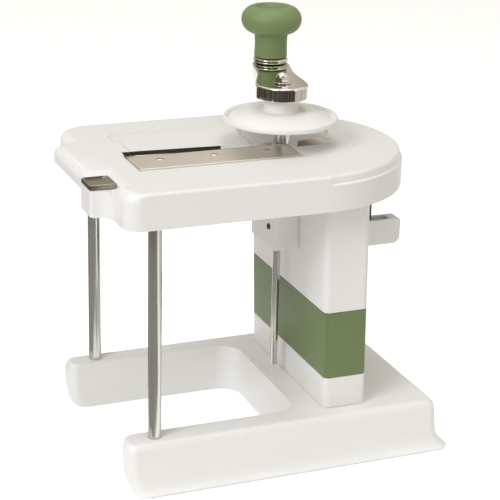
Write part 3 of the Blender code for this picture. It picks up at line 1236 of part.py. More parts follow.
def make_knob_grip(material):
    """Mushroom grip: a straight neck under a rounded head with a shallow dimple."""
    neck_top = GRIP_BOTTOM_Z + GRIP_NECK_HEIGHT
    half = GRIP_HEAD_HEIGHT / 2
    centre = (GRIP_HEAD_RADIUS - half, neck_top + half)
    dimple_z = GRIP_TOP_Z - DIMPLE_DEPTH
    plug_floor = dimple_z - PLUG_THICKNESS - GAP
    profile = [(PLUG_RADIUS + GAP, dimple_z), (DIMPLE_RADIUS - 2 * MM, dimple_z),
               (DIMPLE_RADIUS - 0.4 * MM, GRIP_TOP_Z - 0.4 * MM)]
    profile += arc_profile(centre, half, 86, -76, 12)
    profile += [(GRIP_NECK_RADIUS + 1.2 * MM, neck_top + 0.4 * MM), (GRIP_NECK_RADIUS, neck_top - 1.6 * MM),
                (GRIP_NECK_RADIUS - 0.4 * MM, neck_top - GRIP_NECK_HEIGHT * 0.5),
                (GRIP_NECK_RADIUS, GRIP_BOTTOM_Z + 1 * MM), (GRIP_NECK_RADIUS - 1 * MM, GRIP_BOTTOM_Z),
                (KNOB_PIN_RADIUS + RUN_GAP, GRIP_BOTTOM_Z),
                (KNOB_PIN_RADIUS + RUN_GAP, pin_head_z() - GAP), (PLUG_RADIUS - 1 * MM, pin_head_z() - GAP),
                (PLUG_RADIUS - 1 * MM, plug_floor), (PLUG_RADIUS + GAP, plug_floor)]
    return turned("knob_grip", profile, material, KNOB_X, KNOB_Y, ROUND + 4)


def make_knob_plug(material):
    top = GRIP_TOP_Z - DIMPLE_DEPTH
    profile = [(0, top - 0.5 * MM), (PLUG_RADIUS * 0.6, top - 0.3 * MM), (PLUG_RADIUS, top),
               (PLUG_RADIUS, top - PLUG_THICKNESS), (0, top - PLUG_THICKNESS)]
    return turned("knob_plug", profile, material, KNOB_X, KNOB_Y, ROUND)


# Side bracket and stay rod

def bracket_middle_y():
    return -BRACKET_FRONT + BRACKET_DEPTH / 2


def bracket_screw_z():
    return BRACKET_TOP_Z - POCKET_DEPTH / 2


def make_side_bracket(material):
    left = column_right_at(BRACKET_TOP_Z - BRACKET_HEIGHT) + GAP
    right = CRANK_X + BRACKET_RIGHT
    bottom = BRACKET_TOP_Z - BRACKET_HEIGHT
    corners = [(left, bottom, 0.4 * MM), (right, bottom, BRACKET_CORNER),
               (right, BRACKET_TOP_Z, 2 * MM), (left, BRACKET_TOP_Z, 0.4 * MM)]
    outline = rounded_outline(corners)
    shape = loft([[(x, -BRACKET_FRONT + BRACKET_DEPTH, z) for x, z in outline],
                  [(x, -BRACKET_FRONT, z) for x, z in outline]])
    item = add_object("side_bracket", shape, material)
    pocket = box(CRANK_X + POCKET_LEFT, CRANK_X + POCKET_RIGHT, -BRACKET_FRONT + POCKET_WALL,
                 -BRACKET_FRONT + BRACKET_DEPTH - POCKET_WALL, BRACKET_TOP_Z - POCKET_DEPTH,
                 BRACKET_TOP_Z + 1 * MM)
    cut(item, pocket, "pocket")
    hole = lying_cylinder(left - OVERLAP, CRANK_X + POCKET_LEFT + OVERLAP, bracket_middle_y(),
                          bracket_screw_z(), BRACKET_SCREW_RADIUS + SCREW_GAP)
    cut(item, hole, "screw_hole")
    return item


def make_bracket_screw(material):
    """Drives to the left, from the bracket's pocket into the column."""
    length = POCKET_LEFT + CRANK_X - column_right_at(bracket_screw_z()) + BRACKET_SCREW_GRIP - 1 * MM
    head = 1.8 * MM
    profile = [(0, head), (BRACKET_SCREW_HEAD - 0.5 * MM, head), (BRACKET_SCREW_HEAD, head - 0.5 * MM),
               (BRACKET_SCREW_HEAD, 0), (BRACKET_SCREW_RADIUS, 0), (BRACKET_SCREW_RADIUS, -length),
               (0, -length)]
    item = turned("bracket_screw", profile, material, 0, 0, SMALL_ROUND)
    item.rotation_euler = (0, math.pi / 2, 0)
    item.location = (CRANK_X + POCKET_LEFT + GAP, bracket_middle_y(), bracket_screw_z())
    return item


def make_stay_rod(material):
    bottom = BRACKET_TOP_Z - POCKET_DEPTH + GAP
    shape = cylinder(CRANK_X + STAY_X, bracket_middle_y(), bottom, UNDER_DECK_Z - GAP, STAY_RADIUS)
    return add_object("stay_rod", shape, material, (CRANK_X + STAY_X, bracket_middle_y(), bottom))


# Assembly

clear_scene()
model = new_collection("cabbage_shredder")
cutters = new_collection("cutters")

white = plastic("white_plastic", (0.80, 0.78, 0.73), 0.38)
bright_white = plastic("disc_plastic", (0.82, 0.81, 0.78), 0.32)
green = plastic("green_plastic", (0.20, 0.28, 0.14), 0.42)
rod_steel = steel("rod_steel", (0.42, 0.42, 0.40), 0.28)
blade_steel = steel("blade_steel", (0.55, 0.52, 0.46), 0.3)
chrome = steel("polished_steel", (0.72, 0.69, 0.64), 0.08)
zinc = steel("zinc_steel", (0.55, 0.55, 0.55), 0.35)
nylon = plastic("nylon", (0.75, 0.74, 0.70), 0.5)
rubber = plastic("rubber", (0.25, 0.25, 0.24), 0.85)

make_base(white)
make_rubber_feet(rubber)
make_post("front_post", -1, rod_steel)
make_post("rear_post", 1, rod_steel)
make_post_screws(zinc)
make_column_piece("column_foot", BASE_TOP_Z + GAP, BAND_BOTTOM_Z, white)
make_column_piece("column_band", BAND_BOTTOM_Z + GAP, BAND_TOP_Z, green)
make_column_upper(white)
make_column_bolts(zinc)
make_table(white)
make_blade(blade_steel)
make_blade_screws(zinc)
make_thickness_plate(white)
make_plate_hinge_pin(rod_steel)
make_thickness_tab(chrome)
make_slide_bar(nylon)
make_tab_screw(zinc)
make_spindle_housing(white)
make_upper_bush(nylon)
make_lower_bush(nylon)
make_spindle_rod(rod_steel)
make_stop_sleeve(rod_steel)
make_spiked_disc(bright_white)
make_crank_arm(chrome)
make_washer(chrome)
make_cap_nut(chrome)
make_knob_collar(chrome)
make_knob_pin(rod_steel)
make_knob_grip(green)
make_knob_plug(green)
make_side_bracket(white)
make_bracket_screw(zinc)
make_stay_rod(rod_steel)
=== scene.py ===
import math

import bmesh
import bpy
from mathutils import Matrix, Vector


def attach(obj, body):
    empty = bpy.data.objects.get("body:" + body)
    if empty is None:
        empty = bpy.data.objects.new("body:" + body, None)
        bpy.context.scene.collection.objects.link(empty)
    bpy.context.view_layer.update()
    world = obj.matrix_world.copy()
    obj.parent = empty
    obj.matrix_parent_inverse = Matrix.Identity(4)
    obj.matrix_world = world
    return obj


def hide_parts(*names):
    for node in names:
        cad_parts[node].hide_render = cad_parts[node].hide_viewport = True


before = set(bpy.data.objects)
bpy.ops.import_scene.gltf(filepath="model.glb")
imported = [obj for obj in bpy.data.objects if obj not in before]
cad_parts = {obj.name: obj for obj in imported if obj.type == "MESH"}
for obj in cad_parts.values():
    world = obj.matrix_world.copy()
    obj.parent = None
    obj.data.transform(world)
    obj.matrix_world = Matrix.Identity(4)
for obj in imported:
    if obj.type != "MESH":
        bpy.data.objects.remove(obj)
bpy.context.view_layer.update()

mm = 0.001
crank_x = 29 * mm
set_down = Matrix.Translation((crank_x, 0, 0)) @ Matrix.Scale(mm, 4)

# View: a long lens from the front left, a little above the table, rolled slightly.
# The aim is on the crank's axis, moved aside so that the axis stands right of the middle.
# The focal length and the aim's shift are in pixels of the picture. The view, the lamps and the cards
# are in metres of the frame, and the pieces below them in millimetres from the crank's axis.
swing = math.radians(22.2)
rise = math.radians(19.6)
roll = math.radians(1.4)
distance = 1294.9 * mm
picture_width = 500
focal = 1581.1
across = Vector((math.cos(swing), -math.sin(swing), 0))
behind = Vector((-math.sin(swing) * math.cos(rise), -math.cos(swing) * math.cos(rise), math.sin(rise)))
upright = behind.cross(across)
aim = Vector((crank_x, 0, 158.4 * mm))
aim -= (across * 26.8 + upright * 8.2) / focal * distance
right = across * math.cos(roll) + upright * math.sin(roll)
up = upright * math.cos(roll) - across * math.sin(roll)
lens = bpy.data.cameras.new("view")
lens.sensor_width = 36
lens.lens = focal / picture_width * lens.sensor_width
camera = bpy.data.objects.new("view", lens)
camera.matrix_world = Matrix((right, up, behind)).transposed().to_4x4()
camera.location = aim + behind * distance
bpy.context.scene.collection.objects.link(camera)
bpy.context.scene.camera = camera
bpy.context.scene.view_settings.view_transform = 'Standard'

# Floor and backdrop: a plain floor and surroundings that are white to the eye and in reflections.
# The floor keeps the object's shadow. Where the surroundings only light the object, they are warmer.


def new_node(tree, kind, values=None, **settings):
    """A node with some of its settings and unlinked inputs changed."""
    node = tree.nodes.new("ShaderNode" + kind)
    for label, value in settings.items():
        setattr(node, label, value)
    for label, value in (values or {}).items():
        node.inputs[label].default_value = value
    return node


def white_where_seen(tree):
    """1 for rays from the eye or from a mirror, 0 for light that only falls on things."""
    seen = new_node(tree, "LightPath")
    either = new_node(tree, "Math", operation='MAXIMUM')
    tree.links.new(seen.outputs["Is Camera Ray"], either.inputs[0])
    tree.links.new(seen.outputs["Is Glossy Ray"], either.inputs[1])
    return either.outputs[0]


def new_sheet(name, body, colour):
    """A staged matt sheet; gives back the object, its node tree and its shader's inputs."""
    mesh = bpy.data.meshes.new(name)
    body.to_mesh(mesh)
    body.free()
    sheet = bpy.data.objects.new(name, mesh)
    bpy.context.scene.collection.objects.link(sheet)
    paint = bpy.data.materials.new(name + "_paint")
    paint.use_nodes = True
    mesh.materials.append(paint)
    shader = paint.node_tree.nodes["Principled BSDF"].inputs
    shader["Base Color"].default_value = (*colour, 1)
    shader["Roughness"].default_value = 0.9
    return sheet, paint.node_tree, shader


floor_body = bmesh.new()
bmesh.ops.create_grid(floor_body, x_segments=1, y_segments=1, size=6)
tree, shader = new_sheet("floor", floor_body, (0.93, 0.93, 0.93))[1:]
glow = new_node(tree, "Math", operation='MULTIPLY')
glow.inputs[1].default_value = 0.44
tree.links.new(white_where_seen(tree), glow.inputs[0])
tree.links.new(glow.outputs[0], shader["Emission Strength"])
shader["Emission Color"].default_value = (1, 1, 1, 1)

surroundings = bpy.data.worlds.new("surroundings")
bpy.context.scene.world = surroundings
surroundings.use_nodes = True
tree = surroundings.node_tree
backdrop = tree.nodes["Background"].inputs
white = white_where_seen(tree)
level = new_node(tree, "MapRange", {"To Min": 0.435, "To Max": 1})
warmth = new_node(tree, "Mix", {"A": (1, 0.93, 0.81, 1), "B": (1, 1, 1, 1)}, data_type='RGBA')
tree.links.new(white, level.inputs["Value"])
tree.links.new(white, warmth.inputs["Factor"])
tree.links.new(level.outputs["Result"], backdrop["Strength"])
tree.links.new(warmth.outputs["Result"], backdrop["Color"])

# Lamps: a wide soft one high on the left, a weaker one from the right front and one overhead.


def lamp(name, place, power, size):
    light = bpy.data.lights.new(name, 'AREA')
    light.energy = power
    light.color = (0.955, 0.98, 1)
    light.size = size
    item = bpy.data.objects.new(name, light)
    item.location = place
    item.rotation_euler = (aim - Vector(place)).to_track_quat('-Z', 'Y').to_euler()
    bpy.context.scene.collection.objects.link(item)


lamp("key_lamp", (-1.75, -1, 1.6), 30.5, 1.1)
lamp("fill_lamp", (1.2, -1.7, 1), 3, 1.4)
lamp("top_lamp", (0.1, -0.2, 2.2), 13.8, 1.2)

# Cards: sheets that only the part's bright metal sees, as a photographer sets them round it. Dim ones
# lie on the floor before it and stand at its left, and paler ones lie at its right and stand behind it.


def card(name, first, last, inner, outer, dark, light):
    """A strip round the crank's axis between two circles (radius, height), from one angle to another."""
    strip = bmesh.new()
    rows = []
    for step in range(33):
        turn = math.radians(first + (last - first) * step / 32)
        rows.append([strip.verts.new((crank_x + radius * math.cos(turn), radius * math.sin(turn), height))
                     for radius, height in (inner, outer)])
    for one, other in zip(rows, rows[1:]):
        strip.faces.new((one[0], one[1], other[1], other[0]))
    sheet, tree, shader = new_sheet(name, strip, (0, 0, 0))
    bearing = new_node(tree, "TexGradient", gradient_type='RADIAL')
    streaks = new_node(tree, "TexNoise", {"Scale": 50, "Detail": 2}, noise_dimensions='1D')
    contrast = new_node(tree, "MapRange", {"From Min": 0.4, "From Max": 0.62})
    tones = new_node(tree, "Mix", {"A": (*dark, 1), "B": (*light, 1)}, data_type='RGBA')
    link = tree.links.new
    link(new_node(tree, "TexCoord").outputs["Object"], bearing.inputs["Vector"])
    link(bearing.outputs["Fac"], streaks.inputs["W"])
    link(streaks.outputs["Fac"], contrast.inputs["Value"])
    link(contrast.outputs["Result"], tones.inputs["Factor"])
    link(tones.outputs["Result"], shader["Emission Color"])
    shader["Emission Strength"].default_value = 1
    sheet.visible_camera = False
    sheet.visible_diffuse = False
    sheet.visible_shadow = False
    sheet.visible_transmission = False


card("near_card", -250, -85, (0.22, 0.003), (0.74, 0.003), (0.23, 0.22, 0.19), (0.40, 0.385, 0.34))
card("far_card", -250, -52, (0.74, 0.003), (1.9, 0.003), (0.004, 0.003, 0.002), (0.11, 0.095, 0.07))
card("right_card", -52, 25, (0.30, 0.003), (1.9, 0.003), (0.50, 0.48, 0.43), (0.78, 0.76, 0.70))
card("left_card", -230, -58, (1.9, 0.003), (1.9, 1.5), (0.08, 0.07, 0.055), (0.26, 0.235, 0.19))
card("back_card", 25, 130, (1.9, 0.003), (1.9, 1.5), (0.46, 0.42, 0.355), (0.60, 0.555, 0.48))

# Base: a hollow white moulding, U-shaped so that a bowl can stand in it. Its foot flares out all round,
# and its top edge is rounded. The posts stand in its two bars, and the column on its right part.


def rounded(corners, steps=8):
    """Points round a polygon whose corners (x, y, radius) are arcs."""
    points = []
    for index, (x, y, radius) in enumerate(corners):
        here = Vector((x, y))
        if radius <= 0:
            points.append((x, y))
            continue
        before = (Vector(corners[index - 1][:2]) - here).normalized()
        after = (Vector(corners[(index + 1) % len(corners)][:2]) - here).normalized()
        angle = before.angle(after)
        centre = here + (before + after).normalized() * radius / math.sin(angle / 2)
        start = here + before * (radius / math.tan(angle / 2)) - centre
        sweep = math.pi - angle if before.cross(after) < 0 else angle - math.pi
        for step in range(steps + 1):
            spot = centre + Matrix.Rotation(sweep * step / steps, 2) @ start
            points.append((spot.x, spot.y))
    return points


def skin(rings):
    """A closed body through rings of points, from the lowest up."""
    body = bmesh.new()
    loops = [[body.verts.new(point) for point in ring] for ring in rings]
    count = len(loops[0])
    for lower, upper in zip(loops, loops[1:]):
        for index in range(count):
            after = (index + 1) % count
            body.faces.new((lower[index], lower[after], upper[after], upper[index]))
    ends = [body.faces.new(tuple(reversed(loops[0]))), body.faces.new(tuple(loops[-1]))]
    body.normal_update()
    bmesh.ops.triangulate(body, faces=ends)
    return body


def prism(outline, low, high):
    """An upright body with the same outline from low to high."""
    return skin([[(x, y, z) for x, y in outline] for z in (low, high)])


def block(x0, x1, y0, y1, z0, z1):
    body = bmesh.new()
    bmesh.ops.create_cube(body, size=1)
    bmesh.ops.scale(body, verts=body.verts, vec=(x1 - x0, y1 - y0, z1 - z0))
    bmesh.ops.translate(body, verts=body.verts, vec=((x0 + x1) / 2, (y0 + y1) / 2, (z0 + z1) / 2))
    return body


def peg(x, y, z0, z1, radius, steps=48):
    """An upright round bar."""
    body = bmesh.new()
    bmesh.ops.create_cone(body, cap_ends=True, segments=steps, radius1=radius, radius2=radius,
                          depth=z1 - z0, matrix=Matrix.Translation((x, y, (z0 + z1) / 2)))
    return body


def swung(body, angle):
    """The body turned about the crank's axis."""
    bmesh.ops.rotate(body, verts=body.verts, cent=(0, 0, 0), matrix=Matrix.Rotation(angle, 3, 'Z'))
    return body


def lying_peg(x0, x1, y, z, radius, steps=48):
    """A round bar along X."""
    body = bmesh.new()
    place = Matrix.Translation(((x0 + x1) / 2, y, z)) @ Matrix.Rotation(math.pi / 2, 4, 'Y')
    bmesh.ops.create_cone(body, cap_ends=True, segments=steps, radius1=radius, radius2=radius,
                          depth=x1 - x0, matrix=place)
    return body


def new_piece(name, body):
    """A piece from a body that is drawn in millimetres from the crank's axis."""
    bmesh.ops.transform(body, matrix=set_down, verts=body.verts)
    mesh = bpy.data.meshes.new(name)
    body.to_mesh(mesh)
    body.free()
    piece = bpy.data.objects.new(name, mesh)
    bpy.context.scene.collection.objects.link(piece)
    return piece


def settle(piece):
    """Keep what a piece's modifiers make as its mesh."""
    ready = piece.evaluated_get(bpy.context.evaluated_depsgraph_get())
    mesh = bpy.data.meshes.new_from_object(ready)
    piece.modifiers.clear()
    old = piece.data
    piece.data = mesh
    mesh.name = piece.name
    bpy.data.meshes.remove(old)


def carve(piece, operation, *tools):
    """Cut or join shapes into a piece, one by one."""
    helpers = []
    for tool in tools:
        helper = new_piece(piece.name + "_tool", tool)
        helpers.append(helper)
        change = piece.modifiers.new("change", 'BOOLEAN')
        change.operation = operation
        change.solver = 'EXACT'
        change.object = helper
    settle(piece)
    for helper in helpers:
        used = helper.data
        bpy.data.objects.remove(helper, do_unlink=True)
        bpy.data.meshes.remove(used)


def cut(piece, *tools):
    carve(piece, 'DIFFERENCE', *tools)


def join(piece, *tools):
    carve(piece, 'UNION', *tools)


def dress(piece, material, body, slot, *nodes, smooth=35):
    """Give a piece its surface, the body it rides on and the solids it stands for. The slot is not used."""
    piece.data.materials.clear()
    piece.data.materials.append(material)
    piece.data.shade_smooth()
    piece.data.set_sharp_from_angle(angle=math.radians(smooth))
    flats = piece.modifiers.new("flats", 'WEIGHTED_NORMAL')
    flats.keep_sharp = True
    settle(piece)
    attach(piece, body)
    if nodes:
        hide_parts(*nodes)


def surface_group(name, tint, pimpled):
    """Clouds or lines that tint a colour, dull it here and there and lift its face, or pimples do that."""
    group = bpy.data.node_groups.new(name, 'ShaderNodeTree')
    for side, sockets in (('INPUT', (("Colour", "Color"), ("Stretch", "Vector"), ("Shade", "Float"),
                                     ("Roughness", "Float"), ("Roughness Change", "Float"),
                                     ("Pimple Size", "Float"), ("Depth", "Float"))),
                          ('OUTPUT', (("Colour", "Color"), ("Roughness", "Float"), ("Normal", "Vector")))):
        for label, kind in sockets:
            group.interface.new_socket(label, in_out=side, socket_type="NodeSocket" + kind)
    given = group.nodes.new("NodeGroupInput").outputs
    result = group.nodes.new("NodeGroupOutput").inputs
    place = new_node(group, "TexCoord").outputs["Object"]
    scaled = new_node(group, "VectorMath", operation='MULTIPLY')
    grain = new_node(group, "TexNoise", {"Scale": 1, "Detail": 3})
    share = new_node(group, "Math", operation='MULTIPLY')
    tinted = new_node(group, "Mix", {"B": (*tint, 1)}, data_type='RGBA', blend_type='MULTIPLY')
    dulled = new_node(group, "Math", operation='MULTIPLY_ADD')
    relief = grain
    link = group.links.new
    if pimpled:
        relief = new_node(group, "TexNoise", {"Detail": 1})
        link(place, relief.inputs["Vector"])
        link(given["Pimple Size"], relief.inputs["Scale"])
    bump = new_node(group, "Bump", {"Distance": 0.0001})
    link(place, scaled.inputs[0])
    link(given["Stretch"], scaled.inputs[1])
    link(scaled.outputs["Vector"], grain.inputs["Vector"])
    link(grain.outputs["Fac"], share.inputs[0])
    link(given["Shade"], share.inputs[1])
    link(share.outputs[0], tinted.inputs["Factor"])
    link(given["Colour"], tinted.inputs["A"])
    link(grain.outputs["Fac"], dulled.inputs[0])
    link(given["Roughness Change"], dulled.inputs[1])
    link(given["Roughness"], dulled.inputs[2])
    link(relief.outputs["Fac"], bump.inputs["Height"])
    link(given["Depth"], bump.inputs["Strength"])
    link(tinted.outputs["Result"], result["Colour"])
    link(dulled.outputs[0], result["Roughness"])
    link(bump.outputs["Normal"], result["Normal"])
    return group


def surfaced(name, group, metallic, colour, values):
    """A material whose colour, roughness and normal come from a surface group."""
    material = bpy.data.materials.new(name)
    material.use_nodes = True
    tree = material.node_tree
    shader = tree.nodes["Principled BSDF"].inputs
    shader["Metallic"].default_value = metallic
    surface = new_node(tree, "Group", node_tree=group)
    surface.inputs["Colour"].default_value = (*colour, 1)
    for label, value in values.items():
        surface.inputs[label].default_value = value
    for label, socket in (("Colour", "Base Color"), ("Roughness", "Roughness"), ("Normal", "Normal")):
        tree.links.new(surface.outputs[label], shader[socket])
    return material


moulded_skin = surface_group("moulded_skin", (0.86, 0.84, 0.80), pimpled=True)


def moulded(name, colour, gloss, shade=0.3, pimple_depth=0.05, pimple_size=900):
    """A moulding's surface: faint clouds in its colour and gloss, and fine pimples."""
    return surfaced(name, moulded_skin, 0, colour,
                    {"Stretch": (22, 22, 22), "Shade": shade, "Roughness": gloss,
                     "Roughness Change": 0.1, "Pimple Size": pimple_size, "Depth": pimple_depth})


white_moulding = moulded("white_moulding", (0.85, 0.846, 0.845), 0.30)

# Parts that meet stay this gap apart.
gap = 0.3
ends = (("front", -1), ("rear", 1))
base_top = 41
base_wall = 3
foot_half_depth = 102.5
foot_right = 117
foot_left = 157
flare = 8.5
flare_height = 18
shoulder = 8
bar = 32
pad_places = [-115, 96]
pad_y = 82.5
post_x = -132
post_y = 80
post_boss = 8.6
post_bore = 5.4
post_foot = 20
bolt_x = 27
bolt_y = 50
bolt_bore = 3.2


def base_plan(z, side_inset, left_inset, wall=0):
    """The base's outline at a height; wall is how far inside the outer face it lies."""
    left = -foot_left + left_inset
    side = foot_half_depth - side_inset
    inner = foot_half_depth - bar + wall
    yoke = -8 + wall
    far = foot_right - side_inset
    turn = max(11 - side_inset / 3, 2)
    corners = [(left, -side, turn), (far, -side, turn), (far, side, turn), (left, side, turn),
               (left, inner, turn), (yoke, inner, 18 + wall), (yoke, -inner, 18 + wall),
               (left, -inner, turn)]
    return [(x, y, z) for x, y in rounded(corners, 10)]


# Heights, and how far the wall stands in there at the sides and at the left.
base_levels = [(1, 0.8, 5.6), (1.6, 0, 5)]
for step in range(1, 11):
    share = step / 10
    lift = flare_height * ((1 - math.cos(share * math.pi / 2)) * 0.8 + share * 0.2)
    base_levels.append((1 + lift + 0.6 * (1 - share), flare * math.sin(share * math.pi / 2),
                        5 * (1 - share)))
wall_top = base_top - shoulder
for step in range(0, 10):
    turn = math.pi / 2 * step / 9
    fall = 1 - math.cos(turn)
    base_levels.append((wall_top + shoulder * math.sin(turn), flare + 1 + shoulder * fall * 0.8,
                        shoulder * fall * 0.5))
base = new_piece("base_moulding", skin([base_plan(*spot) for spot in base_levels]))
under_top = base_top - base_wall
inside = [base_plan(z, side + base_wall, left + base_wall, base_wall)
          for z, side, left in base_levels[1:] if z < under_top - shoulder / 2]
below = [(x, y, -2) for x, y, z in inside[0]]
above = base_plan(under_top, base_levels[-1][1], base_levels[-1][2] + base_wall, base_wall)
cut(base, skin([below] + inside + [above]))
base_bosses = []
for side in (-1, 1):
    base_bosses.append(peg(post_x, side * post_y, 16, under_top + 0.5, post_boss))
    base_bosses.append(peg(bolt_x, side * bolt_y, 9.5, under_top + 0.5, 8))
    base_bosses += [peg(x, side * pad_y, 4, under_top + 0.5, 7) for x in pad_places]
    for x in (-60, -30, 40, 70):
        base_bosses.append(block(x, x + 2, side * 82 - 10, side * 82 + 9.5, 24, under_top + 0.5))
join(base, *base_bosses)
base_holes = []
for side in (-1, 1):
    base_holes.append(peg(post_x, side * post_y, post_foot, base_top + 1, post_bore))
    base_holes.append(peg(post_x, side * post_y, 0, post_foot + 1, 2.5))
    base_holes.append(peg(bolt_x, side * bolt_y, 0, base_top + 1, bolt_bore))
cut(base, *base_holes)
# Painted light: the base's white is a lighter copy of the table's white moulding, for the brighter light on
# it.
base_moulding = moulded("base_moulding", (0.89, 0.888, 0.885), 0.30)
dress(base, base_moulding, "frame", "white_plastic", "base")

# Feet: four soft rubber pads pressed into the base's corners. They are matt and a little dusty.


def turned_body(profile, x=0, y=0, steps=96):
    """A body turned about the vertical through (x, y), from its (radius, height) outline."""
    body = bmesh.new()
    points = []
    for radius, height in profile:
        if not points or (points[-1][0] - radius) ** 2 + (points[-1][1] - height) ** 2 > 1e-6:
            points.append((radius, height))
    corners = [body.verts.new((radius, 0, height)) for radius, height in points]
    lines = [body.edges.new(pair) for pair in zip(corners, corners[1:])]
    if points[0][0] > 0 or points[-1][0] > 0:
        lines.append(body.edges.new((corners[-1], corners[0])))
    bmesh.ops.spin(body, geom=corners + lines, axis=(0, 0, 1), cent=(0, 0, 0), angle=2 * math.pi,
                   steps=steps, use_merge=True)
    bmesh.ops.remove_doubles(body, verts=body.verts, dist=1e-4)
    bmesh.ops.recalc_face_normals(body, faces=body.faces)
    bmesh.ops.translate(body, verts=body.verts, vec=(x, y, 0))
    return body


def turned(name, profile, x=0, y=0, steps=96):
    return new_piece(name, turned_body(profile, x, y, steps))


soft_rubber = moulded("soft_rubber", (0.20, 0.20, 0.19), 0.75, shade=0.6, pimple_depth=0.25,
                      pimple_size=1500)
foot_outline = rounded([(0, 3.7, 0), (7, 3.7, 0.4), (6, 0, 0.8), (0, 0, 0)])
for hand, x in zip(("left", "right"), pad_places):
    for label, side in ends:
        foot = turned("rubber_foot_" + label + "_" + hand, foot_outline, x, side * pad_y, 48)
        dress(foot, soft_rubber, "frame", "rubber", "foot_" + label + "_" + hand)

# Posts: two drawn steel rods, chamfered at both ends, with fine lines along them from the drawing die.
# A screw from below holds each in its socket.


drawn_lines = surface_group("drawn_lines", (0.45, 0.44, 0.42), pimpled=False)


def steel(name, colour, stretch, roughness=0.2, change=0.15, depth=0.1, shade=0.3):
    """A steel surface with lines; stretch is how close the lines lie along X, Y and Z."""
    return surfaced(name, drawn_lines, 1, colour,
                    {"Stretch": stretch, "Shade": shade, "Roughness": roughness,
                     "Roughness Change": change, "Depth": depth})


def graded(material, axis, start, end, first, second):
    """Change a material's colour along an axis, from the first at start to the second at end."""
    tree = material.node_tree
    along = new_node(tree, "SeparateXYZ")
    share = new_node(tree, "MapRange", {"From Min": start, "From Max": end})
    blend = new_node(tree, "Mix", {"A": (*first, 1), "B": (*second, 1)}, data_type='RGBA')
    tree.links.new(new_node(tree, "TexCoord").outputs["Object"], along.inputs[0])
    tree.links.new(along.outputs[axis], share.inputs["Value"])
    tree.links.new(share.outputs["Result"], blend.inputs["Factor"])
    tree.links.new(blend.outputs["Result"], tree.nodes["Group"].inputs["Colour"])


drawn_steel = steel("drawn_steel", (0.68, 0.68, 0.65), (2500, 2500, 12), roughness=0.14)
zinc_plate = steel("zinc_plate", (0.60, 0.59, 0.56), (600, 600, 600), roughness=0.28, change=0.2)


def rod_outline(inner, outer, low, high, low_turn, high_turn, steps=4):
    """The (radius, height) outline of a turned rod or tube whose outer ends are rounded."""
    corners = [(inner, high, 0), (outer, high, high_turn), (outer, low, low_turn), (inner, low, 0)]
    return rounded(corners, steps)


deck_under = 239
below_deck = deck_under - gap
post_outline = rod_outline(0, 5.25, post_foot + gap, below_deck, 0.8, 0.8, 3)
for label, side in ends:
    post = turned(label + "_post_rod", post_outline, post_x, side * post_y)
    dress(post, drawn_steel, "frame", "rod_steel", label + "_post")


def cross_head(name, outline, x, y, top, reach, down=True):
    """A turned screw with a cross recess in its head at the given height."""
    screw = turned(name, outline, x, y, 48)
    depth = 1.2
    low, high = (top - depth, top + 1) if down else (top - 1, top + depth)
    arm = reach * 0.18
    cut(screw, block(x - reach * 0.6, x + reach * 0.6, y - arm, y + arm, low, high),
        block(x - arm, x + arm, y - reach * 0.6, y + reach * 0.6, low + 0.01, high + 0.01))
    return screw


def screw_outline(head_bottom, head_top, head_radius, tip, radius):
    """The outline of a screw that stands with its head below and its tip above."""
    return rounded([(0, tip, 0), (radius, tip, radius * 0.4), (radius, head_top, 0),
                    (head_radius, head_top, 0.2), (head_radius, head_bottom, 0.8),
                    (0, head_bottom, 0)], 4)


for label, side in ends:
    outline = screw_outline(12.2, 15.7, 4.5, 28, 2)
    screw = cross_head("post_fixing_" + label, outline, post_x, side * post_y, 12.2, 4.5, down=False)
    dress(screw, zinc_plate, "frame", "zinc_steel", "post_screw_" + label)

# Column: one deep closed pillar in three lengths, white, green and white, clamped between base and
# table by two long bolts. Its long edges are rounded, and it narrows a little downwards.
band_low = 67.5
band_high = 123.1


def column_sides(z):
    """Where the column's left and right faces lie at a height."""
    share = (z - base_top) / (deck_under - base_top)
    return 12.5 - 6.1 * share, 48.9 - 3.6 * share


def pad(x0, x1, y0, y1, z, turn, steps=5):
    """A level ring of points, a rectangle with four like corners."""
    corners = [(x0, y0, turn), (x1, y0, turn), (x1, y1, turn), (x0, y1, turn)]
    return [(x, y, z) for x, y in rounded(corners, steps)]


def column_plan(z, inset=0):
    left, far = column_sides(z)
    side = 77.4 - inset
    return pad(left + inset, far - inset, -side, side, z, 4.5 - inset, 12)


green_moulding = moulded("green_moulding", (0.146, 0.204, 0.075), 0.36, shade=0.35, pimple_depth=0.08)
seam = 0.35
stay_x = 66.2
stay_y = -33
bracket_screw_z = 175.5
for label, low, high, finish, slot in (
        ("column_foot", base_top + gap, band_low - gap, white_moulding, "white_plastic"),
        ("column_band", band_low, band_high, green_moulding, "green_plastic"),
        ("column_upper", band_high + gap, below_deck, white_moulding, "white_plastic")):
    rings = [column_plan(low, seam), column_plan(low + seam * 0.3, seam * 0.3), column_plan(low + seam),
             column_plan(high - seam), column_plan(high - seam * 0.3, seam * 0.3), column_plan(high, seam)]
    length = new_piece(label + "_moulding", skin(rings))
    holes = [peg(bolt_x, side * bolt_y, low - 1, high + 1, bolt_bore) for side in (-1, 1)]
    if label == "column_upper":
        holes += [peg(bolt_x, side * bolt_y, deck_under - 12.3, deck_under + 1, 6.3) for side in (-1, 1)]
        face_x = column_sides(bracket_screw_z)[1]
        holes.append(lying_peg(face_x - 12, face_x + 1, stay_y, bracket_screw_z, 2.2))
    cut(length, *holes)
    dress(length, finish, "frame", slot, label)
for label, side in ends:
    bolt = turned("long_bolt_" + label, screw_outline(4.7, 9.2, 5.5, 237, 3), bolt_x, side * bolt_y, 48)
    cut(bolt, peg(bolt_x, side * bolt_y, 1.7, 7.7, 2.9, 6))
    dress(bolt, zinc_plate, "frame", "zinc_steel", "column_bolt_" + label)

